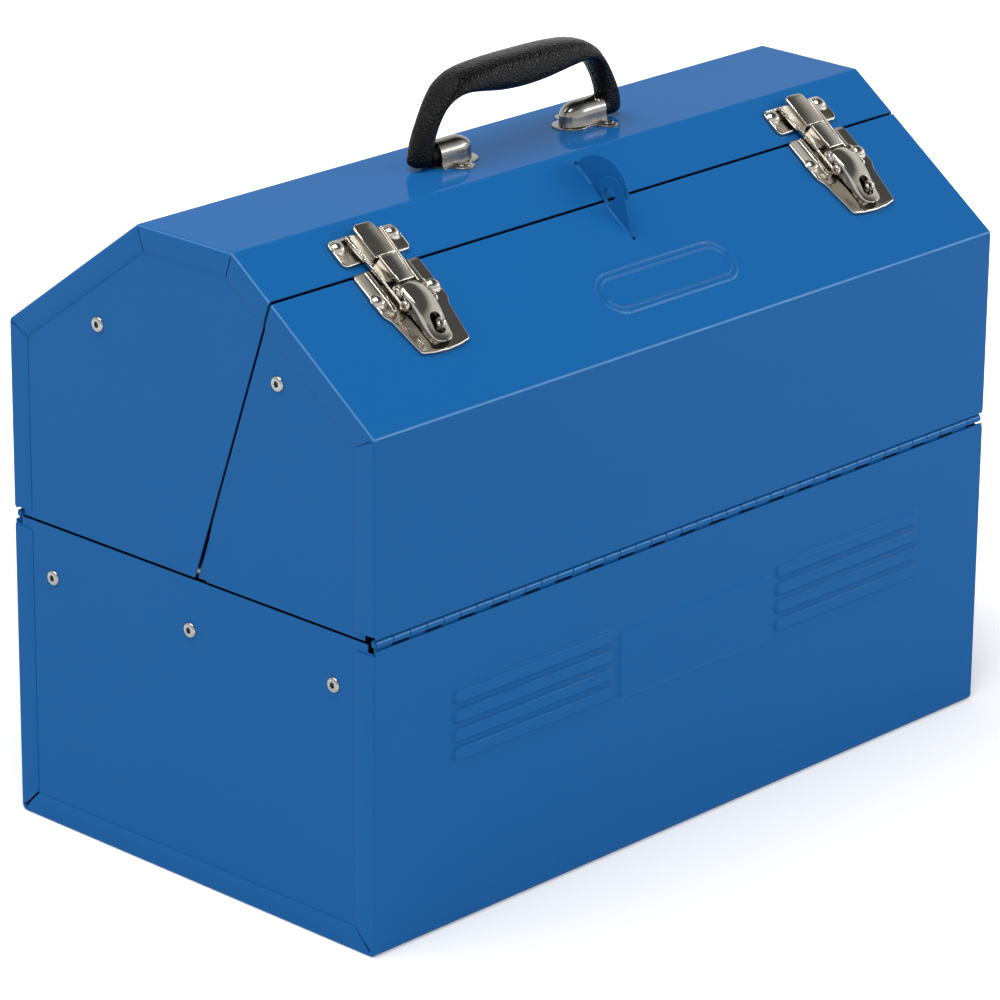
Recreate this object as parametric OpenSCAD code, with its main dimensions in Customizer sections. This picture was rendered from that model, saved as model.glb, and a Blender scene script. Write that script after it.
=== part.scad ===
// Steel tool box with two lids that meet on the front slope, piano hinges along both long sides, two
// over-centre latches, a padlock hasp, a folding handle and four trays on cantilever arms.
// Length runs along X, the front faces -Y, and the origin is under the middle of the bottom. Millimetres.

/* [Box] */
// Length over the two ends
box_l = 460; // [450:1:480]
// Width over the front and rear walls
box_w = 256; // [255:1:258]
// Height of the line where the hinge pins lie
hinge_z = 162.5; // [162:0.5:163]
// Height where the walls turn into the slopes
knee_z = 266; // [264:1:268]
// Height of the flat top
ridge_z = 336; // [334:1:338]
// Half of the flat top's width
ridge_half = 33; // [32:1:34]
// Thickness of the blue sheet
sheet = 0.8; // [0.7:0.1:0.8]
// Width of the flanges that are folded over the ends
flange_w = 13; // [10:1:14]
// Gap between the two lids
split_gap = 1.6; // [1.4:0.2:2]
// Distance of the lids' split from the knee, measured up the front slope
split_s = 86; // [86:0.5:87]

/* [Hinges] */
// Radius of the knuckles
knuckle_r = 2.8; // [2.6:0.1:2.8]
// Radius of the hinge wire
wire_r = 1.6; // [1.4:0.1:1.6]
// Number of knuckles along one hinge
knuckles = 40; // [30:2:44]

/* [Latches] */
// Middle of the left latch
latch_left_x = -154; // [-160:1:-140]
// Middle of the right latch
latch_right_x = 165; // [150:1:170]
// Width of the claw's hood
hood_w = 13.7; // [12:0.1:14]
// Radius of the padlock hole in the hasp tabs
padlock_r = 4; // [3:0.1:4]

/* [Handle] */
// Half of the handle's outer width
handle_half = 76; // [74:0.1:78]
// Height of the handle's crown
handle_z = 385; // [380:1:390]
// Radius of the handle's trunnions
trunnion_r = 5.7; // [5:0.1:5.7]

/* [Trays] */
// Bottom of the lower trays
lower_tray_z = 193; // [193:0.5:194]
// Bottom of the upper trays
upper_tray_z = 245; // [245:0.5:246]
// Height of the lower trays
lower_tray_h = 34.5; // [30:0.5:34.5]
// Height of the upper trays
upper_tray_h = 23; // [18:1:24]

/* [Hidden] */
$fn = 48;

blue = [0.13, 0.38, 0.63];
nickel = [0.78, 0.76, 0.72];
zinc = [0.72, 0.74, 0.76];
black = [0.1, 0.1, 0.1];

// Places along X, from the ends inwards
end_x = box_l / 2;
flange_x = end_x - sheet;
plate_x = flange_x - sheet;
arm_t = 1.5;
link_x = plate_x - 2.7;
front_arm_x = link_x - 3;
rear_arm_x = front_arm_x - 3;
tray_x = rear_arm_x - 1.5;

// Hinges
wall_y = box_w / 2;
hinge_y = wall_y - 2.2;
knuckle_pitch = (box_l - 4) / knuckles;
knuckle_gap = 0.3;
leaf_h = 12;
wall_clear = 3;
bend_r = 3;
base_bend_r = 3.5;
bend_steps = 4;
base_plate_top = hinge_z - 0.5;
lid_plate_bottom = hinge_z + 1;
base_flange_top = hinge_z - 5.5;
lid_flange_bottom = hinge_z + 4.5;

// The front slope's own frame: X along the box, then up the slope, then outwards
slope_a = atan2(ridge_z - knee_z, wall_y - ridge_half);
function on_slope_yz(s, n) = [-wall_y, knee_z] + turned([s, n], slope_a);

// The split runs across the slope at split_s, and down each end to the middle of the base
split_top = on_slope_yz(split_s, 0);
split_foot = [-4, base_plate_top];
split_dir = (split_foot - split_top) / norm(split_foot - split_top);
split_front = [split_dir[1], -split_dir[0]];

// The front lid's inner corner swings past the rear lid's end plate, so it is set inwards beyond this radius
joggle_r = 113;
joggle_top = 204;
joggle_depth = 1;

// Rivets
eyelet_head_r = 4.2;
eyelet_head_t = 1.5;
journal_r = 2;
play = 0.06;
hole_r = journal_r + play;
shoulder_r = 3.2;
rivet_shank_r = 1.9;

// Cantilever arms, as (y, z) of the front set
outer_pivot = [-100, 135];
inner_pivot = [0, 135];
pin_rise_lower = [-6, 64];
pin_rise_upper = [-6, 116];
outer_crank = [[13.5, 21], [11, 47]];
outer_arm_r = 5.5;
inner_arm_r = 4.5;
link_end = [-113.3, 251.8];
lid_pivot = [-63, 278];
link_length = norm(link_end - lid_pivot);
link_travel = 9.2;
link_play = 0.25;
link_r = 5;
tray_inner_y = 1.5;
tray_outer_y = 116;
tray_hem = 6;

// Latch, in the slope's frame: pivots of the lever and of the claw as (s, n)
lever_pivot = [68.2, 5.8];
claw_pivot = [60.2, 5.3];
latch_pin_r = 1.6;
latch_bore_r = 1.66;
ear_x = 8.1;
ear_t = 1;
lever_half = 7.9;
lever_t = 1.1;
claw_half = 10.3;
claw_t = 1;
latch_plate_n = 2.2;
latch_plate_t = 1.1;
hood_t = 1.2;
strike_rivet_x = 18.5;
strike_rivet_s = 102.8;
base_rivet_x = 18.6;
base_rivet_s = 68.5;

// Hasp tabs, in the slope's frame
tab_x = 2.2;
tab_gap = 0.4;
tab_head = [85, 5];
tab_head_r = 10.4;
tab_root_s = 61.4;
rear_tab_centre_s = 91;
rear_tab_r = 19.8;
rear_tab_low_s = 76.6;
tab_clear = 0.3;
relief_r = 1.1;
lance_share = 0.62;

// Handle and its brackets
handle_axis_z = 342;
bracket_r = 7.1;
bracket_bore_r = trunnion_r + 0.1;
bracket_mouth_x = 60.5;
bracket_dome_x = 41.5;
bracket_lugs = [[57, -11], [50, 11]];

// Pressed ribs and panels, each raised outwards
rib_h = 7;
rib_pitch = 10;
rib_z = 87;
rib_ends = [62, 176.5];
press_depth = 1;

function unit(v) = v / norm(v);
function turned(p, a) = [p[0] * cos(a) - p[1] * sin(a), p[0] * sin(a) + p[1] * cos(a)];
function before(list, i) = list[(i + len(list) - 1) % len(list)];
function after(list, i) = list[(i + 1) % len(list)];

// Corner b of a convex outline, between a and c, moved in by d
function corner_in(a, b, c, d) =
    let (u = unit(a - b), v = unit(c - b))
    b + unit(u + v) * d / sin(acos(u * v) / 2);

function inset(pts, d) = [for (i = [0:len(pts) - 1]) corner_in(before(pts, i), pts[i], after(pts, i), d)];

// Points of the arc of radius r that rounds corner b
function corner_arc(a, b, c, r) =
    let (u = unit(a - b), v = unit(c - b), half = acos(u * v) / 2)
    let (centre = b + unit(u + v) * r / sin(half), start = b + u * r / tan(half) - centre)
    let (side = cross(u, v) > 0 ? -1 : 1)
    r <= 0 ? [b]
        : [for (i = [0:bend_steps]) centre + turned(start, side * (180 - 2 * half) * i / bend_steps)];

function rounded(pts, radii) = [
    for (i = [0:len(pts) - 1]) each corner_arc(before(pts, i), pts[i], after(pts, i), radii[i])
];

// Outlines in the (y, z) plane, moved in by d
function base_outline(d) =
    let (r = max(base_bend_r - d, 0), w = wall_y)
    rounded(inset([[-w, 0], [w, 0], [w, hinge_z + 40], [-w, hinge_z + 40]], d), [r, r, 0, 0]);

lid_corners = [
    [-wall_y, hinge_z - 40], [wall_y, hinge_z - 40], [wall_y, knee_z], [ridge_half, ridge_z],
    [-ridge_half, ridge_z], [-wall_y, knee_z]
];

function lid_outline(d) = let (r = max(bend_r - d, 0)) rounded(inset(lid_corners, d), [0, 0, r, r, r, r]);

module along_x(from, to) translate([from, 0, 0]) rotate([90, 0, 90]) linear_extrude(to - from) children();

module both_ends() {
    children();
    mirror([1, 0, 0]) children();
}

module at_rear() mirror([0, 1, 0]) children();

module on_slope(x = 0) translate([x, -wall_y, knee_z]) rotate([slope_a, 0, 0]) children();

// A straight limb between two points, of half-width ra at a and rb at b, with round ends
module limb(a, b, ra, rb) {
    side = turned(unit(b - a), 90);
    polygon([a + side * ra, a - side * ra, b - side * rb, b + side * rb]);
    translate(a) circle(r = ra);
    translate(b) circle(r = rb);
}

// A rectangle with rounded corners, from one corner to the other
module round_rect(from, to, r) {
    polygon(rounded([from, [to[0], from[1]], to, [from[0], to[1]]], [r, r, r, r]));
}

// Half-planes of the front lid and of the rear lid, in (y, z)
module front_side() polygon([
    split_top - split_dir * 40 + split_front * split_gap / 2, [-wall_y - 40, ridge_z + 40],
    [-wall_y - 40, hinge_z - 40], split_foot + split_dir * 20 + split_front * split_gap / 2
]);

module rear_side() polygon([
    split_top - split_dir * 40 - split_front * split_gap / 2,
    split_foot + split_dir * 20 - split_front * split_gap / 2,
    [wall_y + 40, hinge_z - 40], [wall_y + 40, ridge_z + 40]
]);

module above(z) translate([-wall_y - 40, z]) square([2 * wall_y + 80, 400]);

module below(z) translate([-wall_y - 40, z - 400]) square([2 * wall_y + 80, 400]);

// Cut along a mitre from an outer corner to the inner corner of the flanges
module mitre(outer, inner, w) limb(outer, inner, w / 2, w / 2);

// Outer skin of a pressed bar or panel on a wall, in (x, z), and the hollow behind it
module pressed_out(from, to, r) {
    rotate([90, 0, 0]) linear_extrude(press_depth) round_rect(from, to, r);
}

module pressed_hollow(from, to, r) {
    t = [sheet, sheet];
    translate([0, sheet + 0.1, 0]) rotate([90, 0, 0]) linear_extrude(press_depth + 0.1)
        round_rect(from + t, to - t, max(r - sheet, 0.2));
}

module each_rib() {
    for (side = [-1, 1], i = [0:3]) {
        x = [min(side * rib_ends[0], side * rib_ends[1]), max(side * rib_ends[0], side * rib_ends[1])];
        z = rib_z + i * rib_pitch;
        $from = [x[0], z];
        $to = [x[1], z + rib_h];
        $r = rib_h / 2 - 0.1;
        children();
    }
    $from = [-57, 85];
    $to = [57, 121];
    $r = 3;
    children();
}

module base_flange() difference() {
    polygon(base_outline(0));
    polygon(base_outline(flange_w));
    above(base_flange_top);
    mitre(base_outline(1.5)[0], base_outline(flange_w + 1)[0], 0.6);
    mitre([wall_y - 0.6, 0.6], [wall_y - flange_w - 1, flange_w + 1], 1.4);
    translate([-wall_y + 3.4, 3.4]) circle(r = 1.4);
}

module base_shell() color(blue) {
    difference() {
        union() {
            along_x(-end_x, end_x) difference() {
                polygon(base_outline(0));
                polygon(base_outline(sheet));
                above(hinge_z - wall_clear);
            }
            both_ends() along_x(flange_x, end_x) base_flange();
            translate([0, -wall_y, 0]) each_rib() pressed_out($from, $to, $r);
        }
        translate([0, -wall_y, 0]) each_rib() pressed_hollow($from, $to, $r);
    }
}

module base_end() color(blue) along_x(plate_x, flange_x) difference() {
    polygon(base_outline(sheet));
    above(base_plate_top);
    for (y = [-wall_y - 1, wall_y - 5.2]) translate([y, hinge_z - 4.5]) square([6.2, 10]);
    for (p = [outer_pivot, [-outer_pivot[0], outer_pivot[1]], inner_pivot]) translate(p) circle(r = 3.05);
}

module base_end_right() base_end();

module base_end_left() mirror([1, 0, 0]) base_end();

// Half-section of a tubular rivet's head that stands out from the plane z = 0
module eyelet_head(r, t) rotate_extrude() difference() {
    union() {
        square([r - t / 2, t]);
        translate([r - t / 2, t / 2]) circle(r = t / 2);
    }
    translate([-1, t / 3]) square([1 + r * 0.36, t]);
    translate([r * 0.36, t]) circle(r = t * 0.4);
}

// Rivet at a (y, z) point of the right end with its head at head_x: a collar is [from x, to x, radius]
module end_rivet(point, head_x, collars) {
    translate([head_x, point[0], point[1]]) rotate([0, 90, 0]) eyelet_head(eyelet_head_r, eyelet_head_t);
    for (c = collars) translate([c[0], point[0], point[1]]) rotate([0, 90, 0])
        cylinder(r = c[2], h = c[1] - c[0]);
}

function arm_rivet(arm_x) = [
    [plate_x, flange_x, 3], [arm_x + arm_t + 0.15, plate_x, shoulder_r + 0.3],
    [arm_x - 0.2, arm_x + arm_t + 0.15, journal_r], [arm_x - 1.2, arm_x - 0.2, shoulder_r + 0.3]
];

module base_end_rivets() color(zinc) both_ends() {
    end_rivet(outer_pivot, flange_x, arm_rivet(front_arm_x));
    end_rivet([-outer_pivot[0], outer_pivot[1]], flange_x, arm_rivet(rear_arm_x));
    end_rivet(inner_pivot, flange_x, concat(
        arm_rivet(front_arm_x),
        [[rear_arm_x + arm_t + 0.15, front_arm_x - 0.2, shoulder_r],
            [rear_arm_x - 0.2, rear_arm_x + arm_t + 0.15, journal_r],
            [rear_arm_x - 1.2, rear_arm_x - 0.2, shoulder_r + 0.3]]
    ));
}

function knuckle_x(i) = -box_l / 2 + 2 + i * knuckle_pitch + knuckle_gap / 2;

// Every second knuckle of the front hinge, from the first one given
module knuckle_row(first) {
    for (i = [first:2:knuckles - 1])
        translate([knuckle_x(i), -hinge_y, hinge_z]) rotate([0, 90, 0])
            cylinder(r = knuckle_r, h = knuckle_pitch - knuckle_gap);
}

// A leaf of the front hinge: side is -1 for the base's and 1 for the lid's
module hinge_leaf(first, side) color(blue) difference() {
    union() {
        knuckle_row(first);
        leaf_z = hinge_z + side * (wall_clear + 0.1 + leaf_h / 2) - leaf_h / 2;
        translate([-box_l / 2 + 2, -wall_y + sheet, leaf_z]) cube([box_l - 4, sheet, leaf_h]);
        neck_z = hinge_z + side * (wall_clear - 0.4) - 0.5;
        for (i = [first:2:knuckles - 1])
            translate([knuckle_x(i), -wall_y + sheet, neck_z]) cube([knuckle_pitch - knuckle_gap, sheet, 1]);
    }
    translate([-box_l / 2, -hinge_y, hinge_z]) rotate([0, 90, 0]) cylinder(r = wire_r + play, h = box_l);
}

module front_hinge_base_leaf() hinge_leaf(0, -1);

module front_hinge_lid_leaf() hinge_leaf(1, 1);

module rear_hinge_base_leaf() at_rear() hinge_leaf(0, -1);

module rear_hinge_lid_leaf() at_rear() hinge_leaf(1, 1);

module front_hinge_pin() color(blue) translate([-box_l / 2 + 1.6, -hinge_y, hinge_z]) rotate([0, 90, 0])
    cylinder(r = wire_r, h = box_l - 3.2);

module rear_hinge_pin() at_rear() front_hinge_pin();

// The bent sheet of both lids with its end flanges, before it is cut at the split
module lid_sheet_profile() difference() {
    polygon(lid_outline(0));
    polygon(lid_outline(sheet));
    below(hinge_z + wall_clear);
}

module lid_flange_profile() difference() {
    polygon(lid_outline(0));
    polygon(lid_outline(flange_w));
    below(lid_flange_bottom);
    for (i = [2:5]) mitre(inset(lid_corners, 1.6)[i], inset(lid_corners, flange_w + 1)[i], 0.5);
}

module slope_hole(x, s, r) on_slope(x) translate([0, s, -3]) cylinder(r = r, h = 6);

// Openings that the hasp tabs are folded up from, in (x, s)
module front_lance() {
    top = tab_tangent();
    x = tab_x + sheet;
    far_x = x + lance_share * (tab_head[1] + tab_head_r);
    polygon([
        [x, tab_root_s], [x + lance_share * top[1], top[0]], [far_x, tab_head[0]], [far_x, split_s + 4],
        [x, split_s + 4]
    ]);
}

module rear_lance() {
    x = tab_x + 2 * sheet + tab_gap;
    steps = 8;
    reach = rear_tab_centre_s + rear_tab_r - split_s;
    polygon([
        [x, split_s - 4],
        for (i = [0:steps]) let (s = split_s + reach * i / steps)
            [x + lance_share * sqrt(max(pow(rear_tab_r, 2) - pow(s - rear_tab_centre_s, 2), 0)), s]
    ]);
}

module front_lid_shell() color(blue) difference() {
    union() {
        along_x(-end_x, end_x) intersection() {
            lid_sheet_profile();
            front_side();
        }
        both_ends() along_x(flange_x, end_x) intersection() {
            lid_flange_profile();
            front_side();
        }
        on_slope() linear_extrude(press_depth * 0.7) round_rect([-50, 21], [52, 47], 2);
    }
    on_slope() translate([0, 0, -3]) linear_extrude(3 - sheet + press_depth * 0.7)
        round_rect([-50 + sheet, 21 + sheet], [52 - sheet, 47 - sheet], 1.2);
    on_slope() translate([0, 0, -3]) linear_extrude(6) front_lance();
    slope_hole(tab_x + sheet, tab_root_s - 0.6, relief_r);
    for (x = [latch_left_x, latch_right_x], side = [-1, 1])
        slope_hole(x + side * base_rivet_x, base_rivet_s, rivet_shank_r + play);
}

module rear_lid_shell() color(blue) difference() {
    union() {
        along_x(-end_x, end_x) intersection() {
            lid_sheet_profile();
            rear_side();
        }
        both_ends() along_x(flange_x, end_x) intersection() {
            lid_flange_profile();
            rear_side();
        }
    }
    on_slope() translate([0, 0, -3]) linear_extrude(6) rear_lance();
    slope_hole(tab_x + 2 * sheet + tab_gap, rear_tab_centre_s + rear_tab_r + 0.6, relief_r);
    for (x = [latch_left_x, latch_right_x], side = [-1, 1])
        slope_hole(x + side * strike_rivet_x, strike_rivet_s, rivet_shank_r + play);
    for (a = [0, 180], p = bracket_lugs) rotate([0, 0, a])
        translate([p[0], p[1], ridge_z - 3]) cylinder(r = rivet_shank_r + play, h = 6);
}

module lid_end_profile() difference() {
    polygon(lid_outline(sheet));
    below(lid_plate_bottom);
    for (y = [-wall_y - 1, wall_y - 7]) translate([y, hinge_z]) square([8, 4.5]);
}

// Part of the front lid's end that passes behind the rear lid's end
module joggle_zone(r) difference() {
    below(joggle_top);
    translate([-hinge_y, hinge_z]) circle(r = r, $fn = 96);
}

module front_lid_end() color(blue) difference() {
    union() {
        along_x(plate_x, flange_x) difference() {
            intersection() {
                lid_end_profile();
                front_side();
            }
            joggle_zone(joggle_r);
        }
        along_x(plate_x - joggle_depth, flange_x) intersection() {
            lid_end_profile();
            front_side();
            difference() {
                joggle_zone(joggle_r - 0.6);
                joggle_zone(joggle_r + 0.8);
            }
        }
        along_x(plate_x - joggle_depth, flange_x - joggle_depth) intersection() {
            lid_end_profile();
            front_side();
            joggle_zone(joggle_r);
        }
    }
    along_x(plate_x - 2, end_x) translate(lid_pivot) circle(r = 3.05);
}

module front_lid_end_right() front_lid_end();

module front_lid_end_left() mirror([1, 0, 0]) front_lid_end();

module rear_lid_end() color(blue) along_x(plate_x, flange_x) difference() {
    intersection() {
        lid_end_profile();
        rear_side();
    }
    translate([-lid_pivot[0], lid_pivot[1]]) circle(r = 3.05);
}

module rear_lid_end_right() rear_lid_end();

module rear_lid_end_left() mirror([1, 0, 0]) rear_lid_end();

module front_lid_rivets() color(zinc) both_ends() end_rivet(lid_pivot, flange_x, [
    [plate_x, flange_x, 3], [link_x + arm_t + 0.15, plate_x, shoulder_r + 0.3],
    [link_x - 0.2, link_x + arm_t + 0.15, journal_r], [link_x - 1.1, link_x - 0.2, shoulder_r]
]);

module rear_lid_rivets() at_rear() front_lid_rivets();

// Direction, from the middle of its head, of the point where the front tab's straight flank meets the round
function tab_flank_a() =
    let (v = tab_head - [tab_root_s, 0])
    atan2(v[1], v[0]) + 90 + asin(tab_head_r / norm(v));

function tab_tangent() = tab_head + turned([tab_head_r, 0], tab_flank_a());

module front_tab_profile() difference() {
    steps = 30;
    polygon([
        [tab_root_s, 0],
        for (i = [0:steps]) tab_head + turned([tab_head_r, 0], tab_flank_a() - 200 * i / steps)
    ]);
    edge = split_s - split_gap / 2 - 0.1;
    polygon([[0, -30], [0, 0], [edge, 0], [edge, tab_clear], [edge + 20, tab_clear + 5], [edge + 20, -30]]);
    translate(tab_head) circle(r = padlock_r);
}

module rear_tab_profile() difference() {
    intersection() {
        translate([rear_tab_centre_s, 0]) circle(r = rear_tab_r, $fn = 96);
        translate([rear_tab_low_s, 0]) square([60, 40]);
    }
    edge = split_s + split_gap / 2 + 0.1;
    translate([0, -30]) square([edge, 30 + tab_clear]);
    translate(tab_head) circle(r = padlock_r);
}

module front_hasp_tab() color(blue) on_slope() along_x(tab_x, tab_x + sheet) front_tab_profile();

module rear_hasp_tab() color(blue) on_slope() along_x(tab_x + sheet + tab_gap, tab_x + 2 * sheet + tab_gap)
    rear_tab_profile();

// Half outline of the latch's base plate, as (x, s), from its top edge down to its foot
function latch_base_half(d) = [
    [22.3 - d, split_s + 0.3 - d], [22.3 - d, 60], [19.8 - d, 56.4], [16.5 - d, 34.7 + d], [9, 33.2 + d],
    [0, 32.6 + d]
];

module mirrored_outline(half, radii) {
    n = len(half);
    other = [for (i = [n - 2:-1:0]) [-half[i][0], half[i][1]]];
    polygon(rounded(concat(half, other), concat(radii, [for (i = [n - 2:-1:0]) radii[i]])));
}

module ear_profile() difference() {
    union() {
        translate(lever_pivot) circle(r = 3.4);
        foot_n = latch_plate_n - 0.6;
        polygon([[64.8, foot_n], [64.8, lever_pivot[1]], [71.6, lever_pivot[1]], [74.5, foot_n]]);
    }
    translate(lever_pivot) circle(r = latch_pin_r + play / 2);
}

module latch_base(x) color(nickel) on_slope(x) {
    difference() {
        linear_extrude(latch_plate_n) mirrored_outline(latch_base_half(0), [3, 6, 6, 2.5, 0, 0]);
        translate([0, 0, -1]) linear_extrude(1 + latch_plate_n - latch_plate_t)
            mirrored_outline(latch_base_half(latch_plate_t), [2, 6, 6, 1.5, 0, 0]);
        translate([-ear_x, 61, -1]) cube([2 * ear_x, 14, 5]);
        for (side = [-1, 1]) translate([side * base_rivet_x, base_rivet_s, -1])
            cylinder(r = rivet_shank_r + play, h = 6);
    }
    for (side = [-1, 1]) mirror([side < 0 ? 1 : 0, 0, 0]) along_x(ear_x, ear_x + ear_t) ear_profile();
}

module latch_base_left() latch_base(latch_left_x);

module latch_base_right() latch_base(latch_right_x);

// Round-headed rivet through the slope, with its head on a plate of height n
module slope_rivet(n, head_r, head_h) {
    translate([0, 0, -sheet - 1]) cylinder(r = rivet_shank_r, h = sheet + 1 + n);
    translate([0, 0, -sheet - 1]) cylinder(r = 3, h = 1);
    ball = (head_r * head_r + head_h * head_h) / (2 * head_h);
    intersection() {
        translate([0, 0, n + head_h - ball]) sphere(r = ball);
        translate([0, 0, n]) cylinder(r = head_r, h = head_h);
    }
}

module plate_rivets(x_out, s) color(nickel) for (x = [latch_left_x, latch_right_x], side = [-1, 1])
    on_slope(x + side * x_out) translate([0, s, 0]) slope_rivet(latch_plate_n, 3.6, 1.9);

module latch_base_rivets() plate_rivets(base_rivet_x, base_rivet_s);

module strike_rivets() plate_rivets(strike_rivet_x, strike_rivet_s);

module staple_profile() difference() {
    union() {
        translate([44.2, 8.2]) circle(r = 2.8);
        translate([41.8, latch_plate_n]) square([4.8, 6]);
    }
    translate([44.2, 8.2]) circle(r = 1.4);
}

module latch_staples() color(nickel) for (x = [latch_left_x, latch_right_x])
    on_slope(x) along_x(-0.9, 0.9) staple_profile();

module latch_pivot_pins() color(nickel) for (x = [latch_left_x, latch_right_x])
    on_slope(x) translate([-ear_x - ear_t - 0.1, lever_pivot[0], lever_pivot[1]]) rotate([0, 90, 0])
        cylinder(r = latch_pin_r, h = 2 * (ear_x + ear_t + 0.1));

module strike(x) color(nickel) on_slope(x) {
    difference() {
        linear_extrude(latch_plate_n) round_rect([-23, 91.4], [23, 108], 3);
        rim = [latch_plate_t, latch_plate_t];
        translate([0, 0, -1]) linear_extrude(1 + latch_plate_n - latch_plate_t)
            round_rect([-23, 91.4] + rim, [23, 108] - rim, 2);
        for (side = [-1, 1]) translate([side * strike_rivet_x, strike_rivet_s, -1])
            cylinder(r = rivet_shank_r + play, h = 6);
    }
    along_x(-5, 5) polygon(rounded([[93.4, 1.2], [107.8, 1.2], [107.8, 5.2], [93.4, 5.2]], [0, 0, 1.6, 2.5]));
}

module strike_left() strike(latch_left_x);

module strike_right() strike(latch_right_x);

// Side outline of the lever, as (s, n): its crowned back, then its lower edge
lever_back = [
    [71.9, 6.6], [71.2, 8.3], [67, 9.3], [60, 10], [54, 9.3], [48, 7.6], [43, 5.8], [39.5, 4.9], [37, 4.9],
    [36, 5.2]
];
lever_under = [[36.1, 4], [38.5, 3.6], [41, 3], [50, 2.8], [60.2, 2.6], [68.2, 2.6], [70.8, 3.2], [72, 4.6]];
lever_core = [
    [74, 4.6], [74, 7], [70.6, 7.2], [66.8, 8.2], [60, 8.9], [54, 8.2], [48, 6.5], [43, 4.7], [39.5, 3.8],
    [36, 3.7], [36, 0], [74, 0]
];

module lever_plan(d) mirrored_outline(
    [[lever_half - d, 80], [lever_half - d, 53], [lever_half - 0.8 - d, 43], [5.4 - d, 38], [0, 36 + d]],
    [0, 20, 6, 3, 0]
);

module latch_lever(x) color(nickel) on_slope(x) difference() {
    intersection() {
        along_x(-lever_half, lever_half) polygon(concat(lever_back, lever_under));
        linear_extrude(20) lever_plan(0);
    }
    intersection() {
        along_x(-lever_half, lever_half) polygon(lever_core);
        translate([0, 0, -1]) linear_extrude(20) lever_plan(lever_t);
    }
    linear_extrude(20) round_rect([-3.5, 40.2], [3.5, 51], 3);
    for (p = [lever_pivot, claw_pivot]) translate([-20, p[0], p[1]]) rotate([0, 90, 0])
        cylinder(r = p == lever_pivot ? latch_bore_r : latch_pin_r + play / 2, h = 40);
}

module latch_lever_left() latch_lever(latch_left_x);

module latch_lever_right() latch_lever(latch_right_x);

module claw_pin(x) color(nickel) on_slope(x) translate([-claw_half - 0.4, claw_pivot[0], claw_pivot[1]])
    rotate([0, 90, 0]) cylinder(r = latch_pin_r, h = 2 * (claw_half + 0.4));

module claw_pin_left() claw_pin(latch_left_x);

module claw_pin_right() claw_pin(latch_right_x);

// Side outline of the claw's hood, its lip, the lower step and the tongue over the lever
module hood_profile() polygon(rounded(
    [[89.4, 7.1], [89.4, 5.9], [108.8, 5.9], [108.8, 2.5], [110, 2.5], [110, 7.1]], [0, 0, 2, 0, 0, 3.2]
));

module step_profile() polygon([
    [72.3, 7.2], [72.3, 8.2], [76.4, 8.4], [76.8, 8], [89.4, 7.9], [89.4, 5.9], [88.1, 6.7]
]);

module claw_rail_profile() difference() {
    union() {
        translate(claw_pivot) circle(r = 2.7);
        polygon([[claw_pivot[0], 2.8], [77, 2.9], [77, 4.9], [claw_pivot[0], 7.6]]);
    }
    translate(claw_pivot) circle(r = latch_bore_r);
}

module latch_claw(x) color(nickel) on_slope(x) {
    along_x(-5.2, 5.2) hood_profile();
    along_x(-5.3, 5.3) step_profile();
    for (side = [-1, 1]) mirror([side < 0 ? 1 : 0, 0, 0]) {
        along_x(hood_w / 2 - hood_t, hood_w / 2) polygon(
            rounded([[89.4, 3], [107.4, 3], [109.8, 3.6], [109.8, 7.1], [89.4, 7.1]], [0, 0, 0.8, 2.4, 0])
        );
        along_x(5.1, hood_w / 2) polygon([[89.4, 5.9], [106.4, 5.9], [106.4, 7.1], [89.4, 7.1]]);
        along_x(4.3, 5.3) polygon([[76.4, 3], [92, 3], [92, 7.5], [76.4, 7.5]]);
        translate([0, 0, 3]) linear_extrude(1.2) polygon([
            [4.3, 76.4], [claw_half + 0.7, 76.4], [12.7, 106.4], [hood_w / 2 - hood_t, 106.4],
            [hood_w / 2 - hood_t, 89.4], [4.3, 89.4]
        ]);
        translate([0, 0, 3]) linear_extrude(1.9) polygon([
            [claw_half - 0.2, 76.4], [claw_half + 0.7, 76.4], [12.7, 106.4], [11.7, 106.4]
        ]);
        along_x(claw_half - claw_t, claw_half) claw_rail_profile();
        translate([claw_half - claw_t, 75.8, 3]) cube([claw_t + 0.7, 1.4, 1.9]);
    }
}

module latch_claw_left() latch_claw(latch_left_x);

module latch_claw_right() latch_claw(latch_right_x);

module bracket_flange() intersection() {
    union() {
        translate([bracket_dome_x - 0.5, 0]) circle(r = 9.7);
        translate([bracket_dome_x - 0.5, -8.8]) square([bracket_mouth_x - bracket_dome_x + 0.5, 17.6]);
        for (p = bracket_lugs) limb(p, [p[0] - 1.5, 0], 6.2, 8);
    }
    translate([0, -40]) square([bracket_mouth_x + 0.2, 80]);
}

module handle_bracket() color(nickel) translate([0, 0, ridge_z]) difference() {
    z = handle_axis_z - ridge_z;
    barrel_l = bracket_mouth_x - bracket_dome_x;
    union() {
        linear_extrude(1) bracket_flange();
        translate([bracket_dome_x, 0, z]) rotate([0, 90, 0]) cylinder(r = bracket_r, h = barrel_l);
        translate([bracket_dome_x, -bracket_r, 0]) cube([barrel_l, 2 * bracket_r, z]);
        translate([bracket_dome_x, 0, 0]) cylinder(r = bracket_r, h = z);
        translate([bracket_dome_x, 0, z]) sphere(r = bracket_r);
    }
    translate([bracket_dome_x, 0, z]) rotate([0, 90, 0]) cylinder(r = bracket_bore_r, h = 40);
    translate([bracket_dome_x, -bracket_bore_r, -1]) cube([40, 2 * bracket_bore_r, z + 1]);
    translate([bracket_dome_x, 0, -1]) cylinder(r = bracket_bore_r, h = z + 1);
    translate([bracket_dome_x, 0, z]) sphere(r = bracket_bore_r);
    translate([0, -20, -30]) cube([80, 40, 30]);
    for (p = bracket_lugs) translate([p[0], p[1], -1]) cylinder(r = rivet_shank_r + play, h = 4);
}

module handle_bracket_right() handle_bracket();

module handle_bracket_left() rotate([0, 0, 180]) handle_bracket();

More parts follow.
